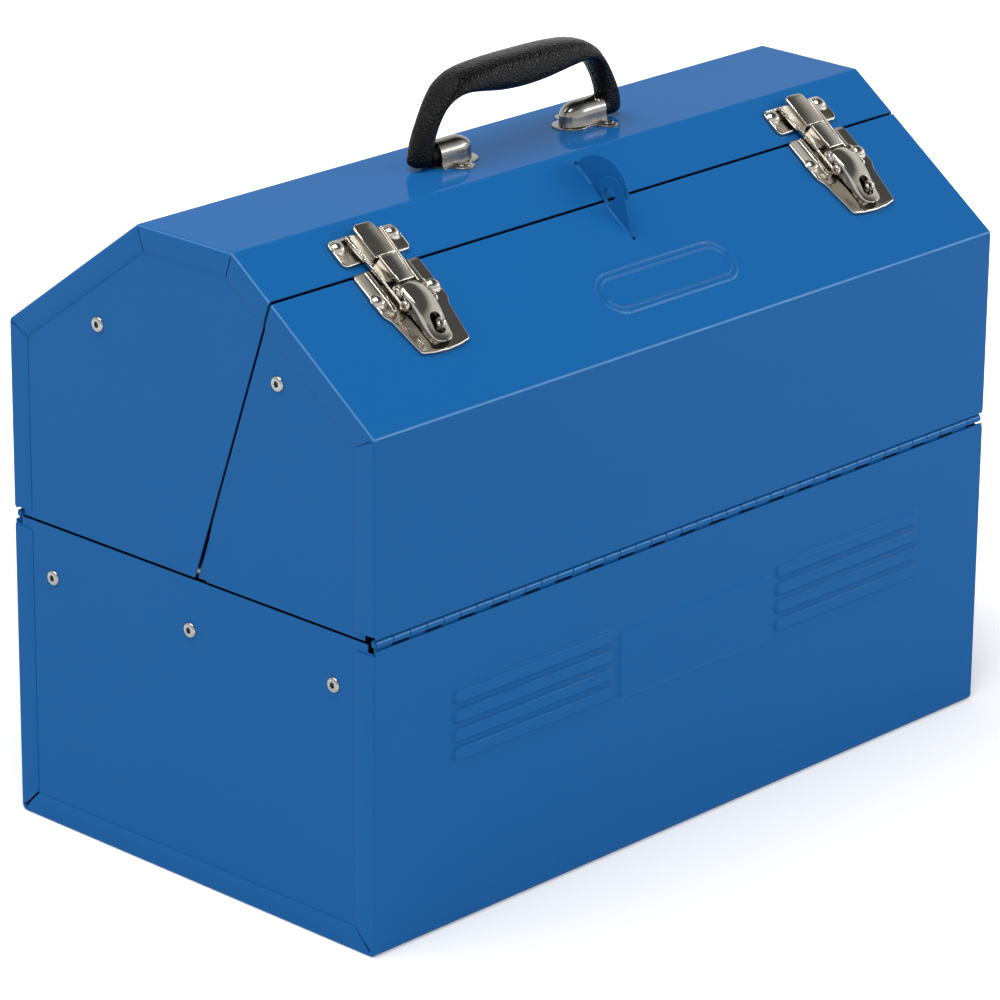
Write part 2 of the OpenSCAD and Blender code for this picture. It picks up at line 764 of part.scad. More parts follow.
module handle_bracket_rivets() color(nickel) for (a = [0, 180], p = bracket_lugs) rotate([0, 0, a])
    translate([p[0], p[1], ridge_z]) {
        translate([0, 0, 1]) eyelet_head(3.4, 0.9);
        translate([0, 0, -sheet - 0.8]) cylinder(r = rivet_shank_r, h = sheet + 1.8);
        translate([0, 0, -sheet - 0.8]) cylinder(r = 3, h = 0.8);
    }

// Stations of the handle from one foot to the crown: outer x and z, inner x and z, and half of its depth
handle_half_stations = [
    [73.5, 337.9, 64.2, 337.9, 3.7], [handle_half, 340.4, 61.4, 340.4, 5.2], [75, 346.8, 61.2, 349.6, 5.6],
    [72.4, 352.6, 59.8, 356, 6.2], [69, 358.2, 57.2, 362, 6.8], [64.6, 364.4, 53.8, 367.4, 7.8],
    [59.3, 370.8, 48.7, 370.7, 9.2], [53.6, handle_z - 7.8, 40.6, 371, 10.2],
    [43.3, handle_z - 2.6, 29.4, 369.2, 10.6], [24.9, handle_z - 0.4, 15.3, 367, 10.8], [0, handle_z, 0, 366.2, 11]
];
mirrored_stations = [
    for (i = [len(handle_half_stations) - 2:-1:0])
        let (s = handle_half_stations[i]) [-s[0], s[1], -s[2], s[3], s[4]]
];
stations = concat(handle_half_stations, mirrored_stations);
station_steps = 3;
ring_sides = 18;

// Smooth curve through four values, from b to c
function blend(a, b, c, d, t) =
    (2 * b + (c - a) * t + (2 * a - 5 * b + 4 * c - d) * t * t + (3 * b - a - 3 * c + d) * t * t * t) / 2;

function station_at(i, t) =
    let (last = len(stations) - 1)
    blend(stations[max(i - 1, 0)], stations[i], stations[min(i + 1, last)], stations[min(i + 2, last)], t);

smooth_stations = [
    for (i = [0:len(stations) - 2], k = [0:station_steps - 1]) station_at(i, k / station_steps),
    stations[len(stations) - 1]
];

function signed_power(v, p) = v < 0 ? -pow(-v, p) : pow(v, p);

// Ring of a station: a rounded rectangle across the handle
function handle_ring(s) = [
    for (k = [0:ring_sides - 1]) let (
        a = 360 * k / ring_sides, c = signed_power(cos(a), 0.75), d = signed_power(sin(a), 0.75)
    ) [(s[0] + s[2]) / 2 + c * (s[0] - s[2]) / 2, d * s[4], (s[1] + s[3]) / 2 + c * (s[1] - s[3]) / 2]
];

module handle_body() {
    rings = len(smooth_stations);
    pts = [for (s = smooth_stations) each handle_ring(s)];
    faces = concat(
        [for (k = [1:ring_sides - 2]) [0, k, k + 1]],
        [for (k = [1:ring_sides - 2]) let (o = (rings - 1) * ring_sides) [o, o + k + 1, o + k]],
        [for (i = [0:rings - 2], k = [0:ring_sides - 1], half = [0, 1])
            let (a = i * ring_sides + k, b = i * ring_sides + (k + 1) % ring_sides)
            half == 0 ? [a, b + ring_sides, b] : [a, a + ring_sides, b + ring_sides]]
    );
    polyhedron(pts, faces);
}

module handle() color(black) {
    handle_body();
    both_ends() translate([47, 0, handle_axis_z]) rotate([0, 90, 0]) cylinder(r = trunnion_r, h = 18);
}

// Arm through its pivot and two tray pins, with its line given from the pivot as [point, radius]
module arm(pivot, line, x) color(zinc) both_ends() along_x(x, x + arm_t) difference() {
    union() for (i = [0:len(line) - 2])
        limb(pivot + line[i][0], pivot + line[i + 1][0], line[i][1], line[i + 1][1]);
    for (p = [[0, 0], pin_rise_lower, pin_rise_upper]) translate(pivot + p) circle(r = hole_r);
}

outer_line = [
    [[0, 0], outer_arm_r], [outer_crank[0], outer_arm_r], [outer_crank[1], outer_arm_r],
    [pin_rise_lower, outer_arm_r], [pin_rise_upper, inner_arm_r]
];
inner_line = [[[0, 0], inner_arm_r], [pin_rise_lower, inner_arm_r], [pin_rise_upper, inner_arm_r]];

module front_outer_arms() arm(outer_pivot, outer_line, front_arm_x);

module front_inner_arms() arm(inner_pivot, inner_line, front_arm_x);

module rear_outer_arms() at_rear() arm(outer_pivot, outer_line, rear_arm_x);

module rear_inner_arms() at_rear() arm(inner_pivot, inner_line, rear_arm_x);

// Folded tray with a hemmed rim: pins are the (y, z) holes in its ends
module tray(z, h, pins) color(blue) difference() {
    along_x(-tray_x, tray_x) round_tray(z, z + h, 0);
    along_x(-tray_x + sheet, tray_x - sheet) intersection() {
        round_tray(z, z + h + 10, sheet);
        translate([-200, 0]) square([400, z + h - tray_hem]);
    }
    along_x(-tray_x + 2 * sheet, tray_x - 2 * sheet) round_tray(z, z + h + 10, 2 * sheet);
    both_ends() along_x(tray_x - 3, tray_x + 1) for (p = pins) translate(p) circle(r = 2.45);
}

module round_tray(z0, z1, d) {
    r = max(base_bend_r - d, 0.5);
    box = [[-tray_outer_y + d, z0 + sheet * sign(d)], [-tray_inner_y - d, z0 + sheet * sign(d)]];
    polygon(rounded([box[0], box[1], [box[1][0], z1], [box[0][0], z1]], [r, r, 0, 0]));
}

function tray_pins(rise) = [outer_pivot + rise, inner_pivot + rise];

module front_lower_tray() tray(lower_tray_z, lower_tray_h, tray_pins(pin_rise_lower));

module front_upper_tray() tray(upper_tray_z, upper_tray_h, concat(tray_pins(pin_rise_upper), [link_end]));

module rear_lower_tray() at_rear() front_lower_tray();

module rear_upper_tray() at_rear() front_upper_tray();

// Headed pin of a tray at a (y, z) point: collars are [from x, to x, radius]
module tray_pin(point, collars) both_ends() for (c = collars)
    translate([c[0], point[0], point[1]]) rotate([0, 90, 0]) cylinder(r = c[2], h = c[1] - c[0]);

function arm_pin(x) = [
    [tray_x - sheet - 1, tray_x - sheet, 3.4], [tray_x - sheet, tray_x, 2.4], [tray_x, x - 0.15, shoulder_r],
    [x - 0.15, x + arm_t + 0.2, journal_r], [x + arm_t + 0.2, x + arm_t + 1.2, shoulder_r]
];

link_pin = [
    [tray_x - sheet, tray_x, 2.4], [tray_x, link_x - 0.15, 2.6],
    [link_x - 0.15, link_x + arm_t + 0.1, journal_r], [link_x + arm_t + 0.1, link_x + arm_t + 0.9, shoulder_r]
];

module lower_pins(x) color(zinc) for (p = tray_pins(pin_rise_lower)) tray_pin(p, arm_pin(x));

module upper_pins(x) color(zinc) {
    for (p = tray_pins(pin_rise_upper)) tray_pin(p, arm_pin(x));
    tray_pin(link_end, link_pin);
}

module front_lower_tray_pins() lower_pins(front_arm_x);

module front_upper_tray_pins() upper_pins(front_arm_x);

module rear_lower_tray_pins() at_rear() lower_pins(rear_arm_x);

module rear_upper_tray_pins() at_rear() upper_pins(rear_arm_x);

module front_lid_links() color(zinc) both_ends() along_x(link_x, link_x + arm_t) {
    way = unit(link_end - lid_pivot);
    difference() {
        limb(lid_pivot, lid_pivot + way * (link_length + 0.6), link_r, link_r);
        translate(lid_pivot) circle(r = hole_r);
        limb(
            lid_pivot + way * (link_length - link_travel), lid_pivot + way * (link_length + 0.2),
            journal_r + link_play, journal_r + link_play
        );
    }
}

module rear_lid_links() at_rear() front_lid_links();

base_shell();
base_end_left();
base_end_right();
base_end_rivets();
front_hinge_base_leaf();
rear_hinge_base_leaf();
front_hinge_pin();
rear_hinge_pin();
front_lid_shell();
front_lid_end_left();
front_lid_end_right();
front_hinge_lid_leaf();
front_lid_rivets();
front_hasp_tab();
latch_base_left();
latch_base_right();
latch_base_rivets();
latch_staples();
latch_pivot_pins();
rear_lid_shell();
rear_lid_end_left();
rear_lid_end_right();
rear_hinge_lid_leaf();
rear_lid_rivets();
rear_hasp_tab();
strike_left();
strike_right();
strike_rivets();
handle_bracket_left();
handle_bracket_right();
handle_bracket_rivets();
handle();
latch_lever_left();
latch_lever_right();
claw_pin_left();
claw_pin_right();
latch_claw_left();
latch_claw_right();
front_outer_arms();
front_inner_arms();
rear_outer_arms();
rear_inner_arms();
front_lower_tray();
front_upper_tray();
rear_lower_tray();
rear_upper_tray();
front_lower_tray_pins();
front_upper_tray_pins();
rear_lower_tray_pins();
rear_upper_tray_pins();
front_lid_links();
rear_lid_links();
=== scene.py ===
"""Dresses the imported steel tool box: painted sheets, piano hinges, nickel latches, grip, arms and trays.

Lengths in the classes are millimetres and the meshes are metres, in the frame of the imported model: X runs
along the box, the front faces -Y, and the box stands on Z = 0. On the front slope, s runs up it and n
outwards.
"""
import logging
import math
from dataclasses import dataclass, field
from enum import Enum
from typing import Callable, Sequence

import bmesh
import bpy
from mathutils import Matrix, Vector


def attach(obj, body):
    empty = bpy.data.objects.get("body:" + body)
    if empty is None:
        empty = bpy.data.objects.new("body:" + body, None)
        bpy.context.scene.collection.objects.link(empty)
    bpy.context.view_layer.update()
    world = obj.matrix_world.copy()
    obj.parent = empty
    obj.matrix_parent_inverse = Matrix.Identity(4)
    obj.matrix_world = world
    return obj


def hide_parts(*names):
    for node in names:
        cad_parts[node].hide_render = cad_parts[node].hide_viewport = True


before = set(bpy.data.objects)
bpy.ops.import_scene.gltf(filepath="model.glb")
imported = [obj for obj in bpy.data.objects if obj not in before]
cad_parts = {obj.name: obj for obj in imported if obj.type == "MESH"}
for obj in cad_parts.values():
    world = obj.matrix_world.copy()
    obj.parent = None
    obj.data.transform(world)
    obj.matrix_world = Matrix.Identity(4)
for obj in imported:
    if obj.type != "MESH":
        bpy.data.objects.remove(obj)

LOG = logging.getLogger("tool_box")
Flat = tuple[float, float]
Colour = tuple[float, float, float]
Outline = list[Flat]
Rows = Sequence[Sequence[Vector]]
Step = Callable[[], object]
Piece = bpy.types.Object
Socket = bpy.types.NodeSocket
NodeTree = bpy.types.NodeTree

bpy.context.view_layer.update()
MM = 0.001
END_X = 230.0
FLANGE_X = 229.2
PLATE_X = 228.4
WALL_Y = 128.0
HINGE_Y = 125.8
HINGE_Z = 162.5
KNEE_Z = 266.0
RIDGE_Z = 336.0
RIDGE_HALF = 33.0
SHEET = 0.8
SLOPE_ANGLE = math.atan2(RIDGE_Z - KNEE_Z, WALL_Y - RIDGE_HALF)
SPLIT_S = 86.0
SPLIT_FOOT = (-4.0, 162.0)
SPLIT_HALF_GAP = 0.8
LATCH_X = {"left": -154.0, "right": 165.0}
LINK_X = PLATE_X - 2.7
SIDES = {"left": -1.0, "right": 1.0}
# Point attribute that holds how strongly the paint is lightened as a painted highlight, on bends and bead
# shoulders.
HIGHLIGHT_MARK = "bend"
CAP_SHARE = 0.8
WELD = 0.002
SHEET_ANGLE = 40.0
PLATE_SOFT = 0.2
EYELET_SHARES = (
    (0.0, 0.2), (0.33, 0.2), (0.35, 0.45), (0.38, 0.8), (0.46, 0.97), (0.58, 1.0), (0.74, 0.93), (0.88, 0.76),
    (0.96, 0.5), (1.0, 0.22), (0.98, 0.0),
)


class Axis(Enum):
    """Direction that a flat outline is extruded along.

    The outline's plane is (y, z) for X, (x, z) for Y and (x, y) for Z.
    """

    X = "x"
    Y = "y"
    Z = "z"

    def place(self, point: Flat, height: float) -> Vector:
        """Point of an outline at a height along the axis, in metres.

        Args:
            point: The outline's point, in millimetres.
            height: Its place along the axis.

        Returns:
            The point.
        """
        spots = {
            Axis.X: (height, point[0], point[1]), Axis.Y: (point[0], height, point[1]),
            Axis.Z: (point[0], point[1], height),
        }
        return Vector(spots[self]) * MM


class Slot(Enum):
    """Material slots of the record."""

    PAINT = "blue_paint"
    NICKEL = "nickel_plate"
    SATIN = "nickel_plate/satin"
    ZINC = "zinc_plate"
    GRIP = "grip_black"


SLOPE = Matrix.Translation((0.0, -WALL_Y * MM, KNEE_Z * MM)) @ Matrix.Rotation(SLOPE_ANGLE, 4, "X")
TO_REAR = Matrix.Scale(-1.0, 4, (0.0, 1.0, 0.0))
TO_LEFT = Matrix.Scale(-1.0, 4, (1.0, 0.0, 0.0))
HALF_TURN = Matrix.Rotation(math.pi, 4, "Z")
ALONG_X = Matrix.Rotation(math.pi / 2, 4, "Y")


def on_slope(s: float, n: float = 0.0) -> Flat:
    """(y, z) of a point of the front slope, from its place up the slope and its height off it."""
    c, d = math.cos(SLOPE_ANGLE), math.sin(SLOPE_ANGLE)
    return -WALL_Y + s * c - n * d, KNEE_Z + s * d + n * c


def shift(x: float = 0.0, y: float = 0.0, z: float = 0.0) -> Matrix:
    """Translation by millimetres."""
    return Matrix.Translation(Vector((x, y, z)) * MM)


def deselect() -> None:
    """Clears the selection, so that an operator acts on its own piece alone."""
    bpy.ops.object.select_all(action="DESELECT")


def activate(piece: Piece) -> None:
    """Selects one piece and makes it the active one.

    Args:
        piece: The piece to select.
    """
    deselect()
    piece.select_set(True)
    bpy.context.view_layer.objects.active = piece


def enter(piece: Piece, kind: str) -> None:
    """Enters edit mode on a piece, with nothing selected.

    Args:
        piece: The piece to edit.
        kind: What is selected there, FACE or EDGE.
    """
    activate(piece)
    bpy.ops.object.mode_set(mode="EDIT")
    bpy.ops.mesh.select_mode(type=kind)
    bpy.ops.mesh.select_all(action="DESELECT")


def edit(piece: Piece, *steps: Step) -> None:
    """Runs mesh operators on a whole piece in edit mode.

    Args:
        piece: The piece to change.
        steps: Calls that run one after the other, each with everything selected.
    """
    activate(piece)
    bpy.ops.object.mode_set(mode="EDIT")
    for step in steps:
        bpy.ops.mesh.select_all(action="SELECT")
        step()
    bpy.ops.object.mode_set(mode="OBJECT")


def shape(
    piece: Piece, kind: str, test: Callable[[Vector, Vector], bool], *steps: Step
) -> Piece:
    """Runs mesh operators on some faces or edges of a piece.

    Args:
        piece: The piece to change.
        kind: FACE or EDGE.
        test: Takes the middle of a face or edge, in millimetres, and its normal or direction.
        steps: Calls that run one after the other on what passes the test.

    Returns:
        The piece.
    """
    enter(piece, kind)
    net = bmesh.from_edit_mesh(piece.data)
    for item in list(net.faces if kind == "FACE" else net.edges):
        a, b = item.verts[0].co, item.verts[1].co
        way = item.normal if kind == "FACE" else (b - a).normalized()
        middle = item.calc_center_median() if kind == "FACE" else (a + b) / 2
        if test(middle / MM, way):
            item.select_set(True)
    bmesh.update_edit_mesh(piece.data)
    for step in steps:
        step()
    bpy.ops.object.mode_set(mode="OBJECT")
    return piece


def delete_faces() -> None:
    """Deletes the selected faces."""
    bpy.ops.mesh.delete(type="FACE")


def round_edges(width: float, segments: int) -> None:
    """Rounds the selected edges over a width in millimetres."""
    bpy.ops.mesh.bevel(offset=width * MM, segments=segments, affect="EDGES", clamp_overlap=True)


def round_rim(piece: Piece, height: float, width: float, segments: int) -> Piece:
    """Rounds the level edges of a piece at a height, over a width in millimetres, and returns the piece."""
    return shape(piece, "EDGE", lambda middle, way: abs(middle.z - height) < 0.001 and abs(way.z) < 0.01,
                 lambda: round_edges(width, segments))


def outward() -> None:
    """Turns the selected faces outwards."""
    bpy.ops.mesh.normals_make_consistent(inside=False)


def merge_near(distance: float) -> None:
    """Merges selected vertices that lie within a distance in millimetres."""
    bpy.ops.mesh.remove_doubles(threshold=distance * MM)


def named(name: str) -> Piece:
    """The object that the last operator made, under a name of its own.

    Args:
        name: The name, which the mesh gets too.

    Returns:
        The object.
    """
    piece = bpy.context.object
    piece.name = name
    piece.data.name = name
    return piece


def prism(name: str, outline: Outline, low: float, high: float, axis: Axis) -> Piece:
    """Flat outline extruded along an axis.

    Args:
        name: Name of the new piece.
        outline: Corners in order, in the axis's plane.
        low: Where the extrusion starts.
        high: Where it ends.
        axis: Direction of the extrusion.

    Returns:
        The closed solid.
    """
    deselect()
    bpy.ops.mesh.primitive_circle_add(vertices=len(outline), fill_type="NGON")
    piece = named(name)
    for vertex, point in zip(piece.data.vertices, outline):
        vertex.co = axis.place(point, low)
    rise = axis.place((0.0, 0.0), high - low)
    edit(piece, lambda: bpy.ops.mesh.extrude_region_move(TRANSFORM_OT_translate={"value": rise}), outward)
    return piece


def sheet_of(name: str, rows: Rows) -> Piece:
    """Grid primitive whose vertices are moved to the given rows of points, in metres.

    Args:
        name: Name of the new piece.
        rows: Rows with the same number of points each.

    Returns:
        The open sheet.
    """
    deselect()
    bpy.ops.mesh.primitive_grid_add(x_subdivisions=len(rows[0]) - 1, y_subdivisions=len(rows) - 1)
    piece = named(name)
    piece.data.vertices.foreach_set("co", [c for row in rows for point in row for c in point])
    piece.data.update()
    return piece


def loft(name: str, rings: Rows) -> Piece:
    """Closed skin through rings of points in metres, with rounded-in flat ends.

    Args:
        name: Name of the new piece.
        rings: Loops with the same number of points each.

    Returns:
        The closed solid.
    """
    middles = [sum(ring, Vector()) / len(ring) for ring in (rings[0], rings[-1])]
    inner = [[m + (p - m) * CAP_SHARE for p in ring] for m, ring in zip(middles, (rings[0], rings[-1]))]
    count = len(rings[0])
    rows = [[middles[0]] * count, inner[0], *rings, inner[1], [middles[1]] * count]
    piece = sheet_of(name, [[*row, row[0]] for row in rows])
    edit(piece, lambda: merge_near(WELD), outward)
    return piece


def shell_between(name: str, outer: Rows, inner: Rows) -> Piece:
    """Pressed sheet between two skins that have the same rows of points, bridged along their rims.

    Args:
        name: Name of the new piece.
        outer: Rows of the outer skin, in metres.
        inner: Rows of the inner skin.

    Returns:
        The closed solid.
    """
    inside = sheet_of("inside", inner)
    inside.data.flip_normals()
    piece = joined(name, [sheet_of("outside", outer), inside])
    enter(piece, "EDGE")
    bpy.ops.mesh.select_non_manifold(
        use_wire=False, use_multi_face=False, use_non_contiguous=False, use_verts=False
    )
    bpy.ops.mesh.bridge_edge_loops()
    bpy.ops.mesh.select_all(action="SELECT")
    outward()
    bpy.ops.object.mode_set(mode="OBJECT")
    return piece


def smooth_value(points: Sequence[Flat], place: float) -> float:
    """Value at a place of the smooth curve through (place, value) points.

    Args:
        points: Points in order of their places.
        place: Where the value is wanted.

    Returns:
        The curve's value.
    """
    place = min(max(place, points[0][0]), points[-1][0])
    i = next(k for k in range(1, len(points)) if points[k][0] >= place)
    (p, a), (q, b) = points[i - 1], points[i]
    before, after = points[max(i - 2, 0)], points[min(i + 1, len(points) - 1)]
    rise_a, rise_b = (b - before[1]) / (q - before[0]), (after[1] - a) / (after[0] - p)
    t, h = (place - p) / (q - p), q - p
    return (
        a * (1 + 2 * t) * (1 - t) ** 2 + rise_a * h * t * (1 - t) ** 2 + b * t * t * (3 - 2 * t)
        + rise_b * h * t * t * (t - 1)
    )


def turned(name: str, profile: Outline, steps: int = 32) -> Piece:
    """Solid spun about Z.

    Args:
        name: Name of the new piece.
        profile: (radius, height) points from the axis round to the axis again.
        steps: Faces round the axis.

    Returns:
        The closed solid.
    """
    deselect()
    bpy.ops.mesh.primitive_circle_add(vertices=len(profile), fill_type="NOTHING")
    piece = named(name)
    for vertex, (radius, height) in zip(piece.data.vertices, profile):
        vertex.co = Vector((radius, 0.0, height)) * MM
    edit(
        piece,
        lambda: bpy.ops.mesh.spin(steps=steps, angle=2 * math.pi, center=(0, 0, 0), axis=(0, 0, 1)),
        lambda: merge_near(0.01), outward,
    )
    return piece


def modify(piece: Piece, kind: str, **settings: object) -> Piece:
    """Adds a modifier with its settings and applies it.

    Args:
        piece: The piece.
        kind: Type of the modifier.
        settings: Its settings by name.

    Returns:
        The piece.
    """
    activate(piece)
    modifier = piece.modifiers.new(kind.lower(), kind)
    for key, value in settings.items():
        setattr(modifier, key, value)
    bpy.ops.object.modifier_apply(modifier=modifier.name)
    return piece


def soften(piece: Piece, width: float, segments: int = 2, angle: float = 35.0) -> Piece:
    """Rounds the sharp edges of a piece.

    Args:
        piece: The piece.
        width: Width of the rounding in millimetres.
        segments: Faces across it.
        angle: Least turn, in degrees, of an edge that is rounded.

    Returns:
        The piece.
    """
    return modify(
        piece, "BEVEL", width=width * MM, segments=segments, limit_method="ANGLE",
        angle_limit=math.radians(angle), use_clamp_overlap=True, miter_outer="MITER_ARC",
    )


def thicken(piece: Piece, thickness: float = SHEET) -> Piece:
    """Gives an open sheet its thickness, behind the side that its faces show."""
    return modify(piece, "SOLIDIFY", thickness=thickness * MM, offset=-1.0, use_even_offset=True)


def cut(piece: Piece, cutter: Piece) -> Piece:
    """Takes one solid out of another and removes the cutter.

    Args:
        piece: The solid that is cut.
        cutter: The solid that is taken out of it.

    Returns:
        The solid that is left.
    """
    modify(piece, "BOOLEAN", object=cutter, operation="DIFFERENCE", solver="EXACT")
    bpy.data.objects.remove(cutter)
    return piece


def placed(piece: Piece, *moves: Matrix) -> Piece:
    """Moves a piece's mesh, and keeps its faces outwards when it is mirrored.

    Args:
        piece: The piece.
        moves: Matrices, of which the last one acts first.

    Returns:
        The piece.
    """
    matrix = Matrix.Identity(4)
    for move in moves:
        matrix = matrix @ move
    piece.data.transform(matrix)
    if matrix.determinant() < 0:
        piece.data.flip_normals()
    return piece


def twin(piece: Piece, name: str, *moves: Matrix) -> Piece:
    """Copy of a piece with a mesh of its own, moved by matrices.

    Args:
        piece: The piece to copy.
        name: Name of the copy.
        moves: Matrices, of which the last one acts first.

    Returns:
        The copy.
    """
    copy = bpy.data.objects.new(name, piece.data.copy())
    bpy.context.scene.collection.objects.link(copy)
    return placed(copy, *moves)


def joined(name: str, pieces: Sequence[Piece]) -> Piece:
    """One object out of several.

    Args:
        name: Name of the joined piece.
        pieces: The pieces, which are used up.

    Returns:
        The joined piece.
    """
    deselect()
    for piece in pieces:
        piece.select_set(True)
    bpy.context.view_layer.objects.active = pieces[0]
    bpy.ops.object.join()
    return named(name)


def mark_painted_highlights(piece: Piece, shares: Sequence[float]) -> None:
    """Keeps on each point of a piece how strongly a painted highlight lightens its paint there, from 0 to 1.
    """
    piece.data.attributes.new(HIGHLIGHT_MARK, "FLOAT", "POINT").data.foreach_set("value", shares)


def scattered(name: str, one: Piece, spots: Sequence[Sequence[Matrix]]) -> Piece:
    """Copies of a piece in their places, joined. The piece itself is used up.

    Args:
        name: Name of the joined piece.
        one: The piece to copy.
        spots: Matrices that place each copy, the last one first.

    Returns:
        The joined copies.
    """
    copies = [twin(one, "copy", *moves) for moves in spots]
    bpy.data.objects.remove(one)
    return joined(name, copies)


def drawn(node: str, width: float, segments: int = 2) -> Piece:
    """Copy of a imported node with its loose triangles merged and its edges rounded.

    Args:
        node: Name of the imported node.
        width: Width of the rounding.
        segments: Faces across it.

    Returns:
        The new piece, named after the node.
    """
    piece = bpy.data.objects.new(node + "_finished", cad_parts[node].data.copy())
    bpy.context.scene.collection.objects.link(piece)
    activate(piece)
    bpy.ops.mesh.customdata_custom_splitnormals_clear()
    edit(
        piece, lambda: merge_near(WELD), bpy.ops.mesh.tris_convert_to_quads,
        lambda: bpy.ops.mesh.dissolve_limited(angle_limit=math.radians(0.5)),
    )
    piece.data.materials.clear()
    return soften(piece, width, segments, 30.0)


def circle(centre: Flat, radius: float, steps: int = 32, first: float = 0.0, last: float = 360.0) -> Outline:
    """Points of a circle or of an arc between two angles in degrees.

    Args:
        centre: Middle of the circle.
        radius: Its radius.
        steps: Sides of the circle or arc.
        first: Angle of the first point.
        last: Angle of the last point.

    Returns:
        The points in order.
    """
    whole = abs(last - first) >= 360.0
    angles = [math.radians(first + (last - first) * i / steps) for i in range(steps if whole else steps + 1)]
    return [(centre[0] + radius * math.cos(a), centre[1] + radius * math.sin(a)) for a in angles]


def rounded(corners: Outline, radii: Sequence[float], steps: int = 5) -> Outline:
    """Outline with its corners rounded.

    Args:
        corners: Corners in order.
        radii: Radius at each corner, or 0 to keep it.
        steps: Faces round each corner.

    Returns:
        The rounded outline.
    """
    points: Outline = []
    for i, corner in enumerate(corners):
        b = Vector(corner)
        u = (Vector(corners[i - 1]) - b).normalized()
        v = (Vector(corners[(i + 1) % len(corners)]) - b).normalized()
        if radii[i] <= 0:
            points.append(corner)
            continue
        half = u.angle(v) / 2
        centre = b + (u + v).normalized() * radii[i] / math.sin(half)
        arm = b + u * radii[i] / math.tan(half) - centre
        sweep = math.copysign(math.pi - 2 * half, arm.cross(b - centre))
        for k in range(steps + 1):
            spoke = arm.copy()
            spoke.rotate(Matrix.Rotation(sweep * k / steps, 2))
            points.append(tuple(centre + spoke))
    return points


def box_outline(low: Flat, high: Flat, radius: float = 0.0, steps: int = 5) -> Outline:
    """Rectangle between two corners, with its corners rounded."""
    return rounded([low, (high[0], low[1]), high, (low[0], high[1])], [radius] * 4, steps)


def meet(p: Vector, u: Vector, q: Vector, v: Vector) -> Vector:
    """Point where the line through p along u meets the line through q along v."""
    return p + u * (q - p).cross(v) / u.cross(v)


@dataclass(frozen=True)
class Pressing:
    """Rounded panel that is pressed out of a wall."""

    low: Flat
    high: Flat
    radius: float
    height: float
    shoulder: float = 2.0
    bead: float = 0.0
    fine: float = 0.45

    def rise(self, x: float, t: float) -> float:
        """Height of the panel at a point of the wall.

        Args:
            x: Place along X.
            t: Place along the wall.

        Returns:
            The height.
        """
        half = [(b - a) / 2 for a, b in zip(self.low, self.high)]
        middle = [(a + b) / 2 for a, b in zip(self.low, self.high)]
        away = [abs(v - m) - h + self.radius for v, m, h in zip((x, t), middle, half)]
        gap = math.hypot(max(away[0], 0.0), max(away[1], 0.0)) + min(max(away), 0.0) - self.radius
        if self.bead > 0:
            gap = abs(gap + self.bead / 2) - self.bead / 2
        share = min(max(0.5 - gap / self.shoulder, 0.0), 1.0)
        return self.height * share * share * (3 - 2 * share)

    def lip_highlight_share(self, x: float, t: float) -> float:
        """How steeply a bead falls along the wall at a point, from 0 to 1, which sets the painted highlight
        along that shoulder.

        Args:
            x: Place along X.
            t: Place along the wall.

        Returns:
            The share.
        """
        reach = 0.25
        fall = (self.rise(x, t - reach) - self.rise(x, t + reach)) / (2 * reach)
        return min(max(1.5 * fall - 0.3, 0.0), 1.0) if self.bead > 0 else 0.0

    def lines(self, along: int) -> list[float]:
        """Places of the mesh lines that the shoulders need.

        Args:
            along: 0 for the lines along X and 1 for those along the wall.

        Returns:
            The places.
        """
        if self.bead > 0:
            first, last = self.low[along] - self.shoulder, self.high[along] + self.shoulder
            near = [k * self.fine for k in range(int((self.radius + 2 * self.shoulder) / self.fine) + 1)]
            return [first + k for k in near] + [last - k for k in near]
        reach = [-0.55, -0.3, -0.1, 0.1, 0.3, 0.55]
        edges = [edge + k * self.shoulder for edge in (self.low[along], self.high[along]) for k in reach]
        bend = [self.low[along] + self.radius * k for k in (0.4, 0.7, 1.1)]
        return edges + bend + [self.high[along] - self.radius * k for k in (0.4, 0.7, 1.1)]


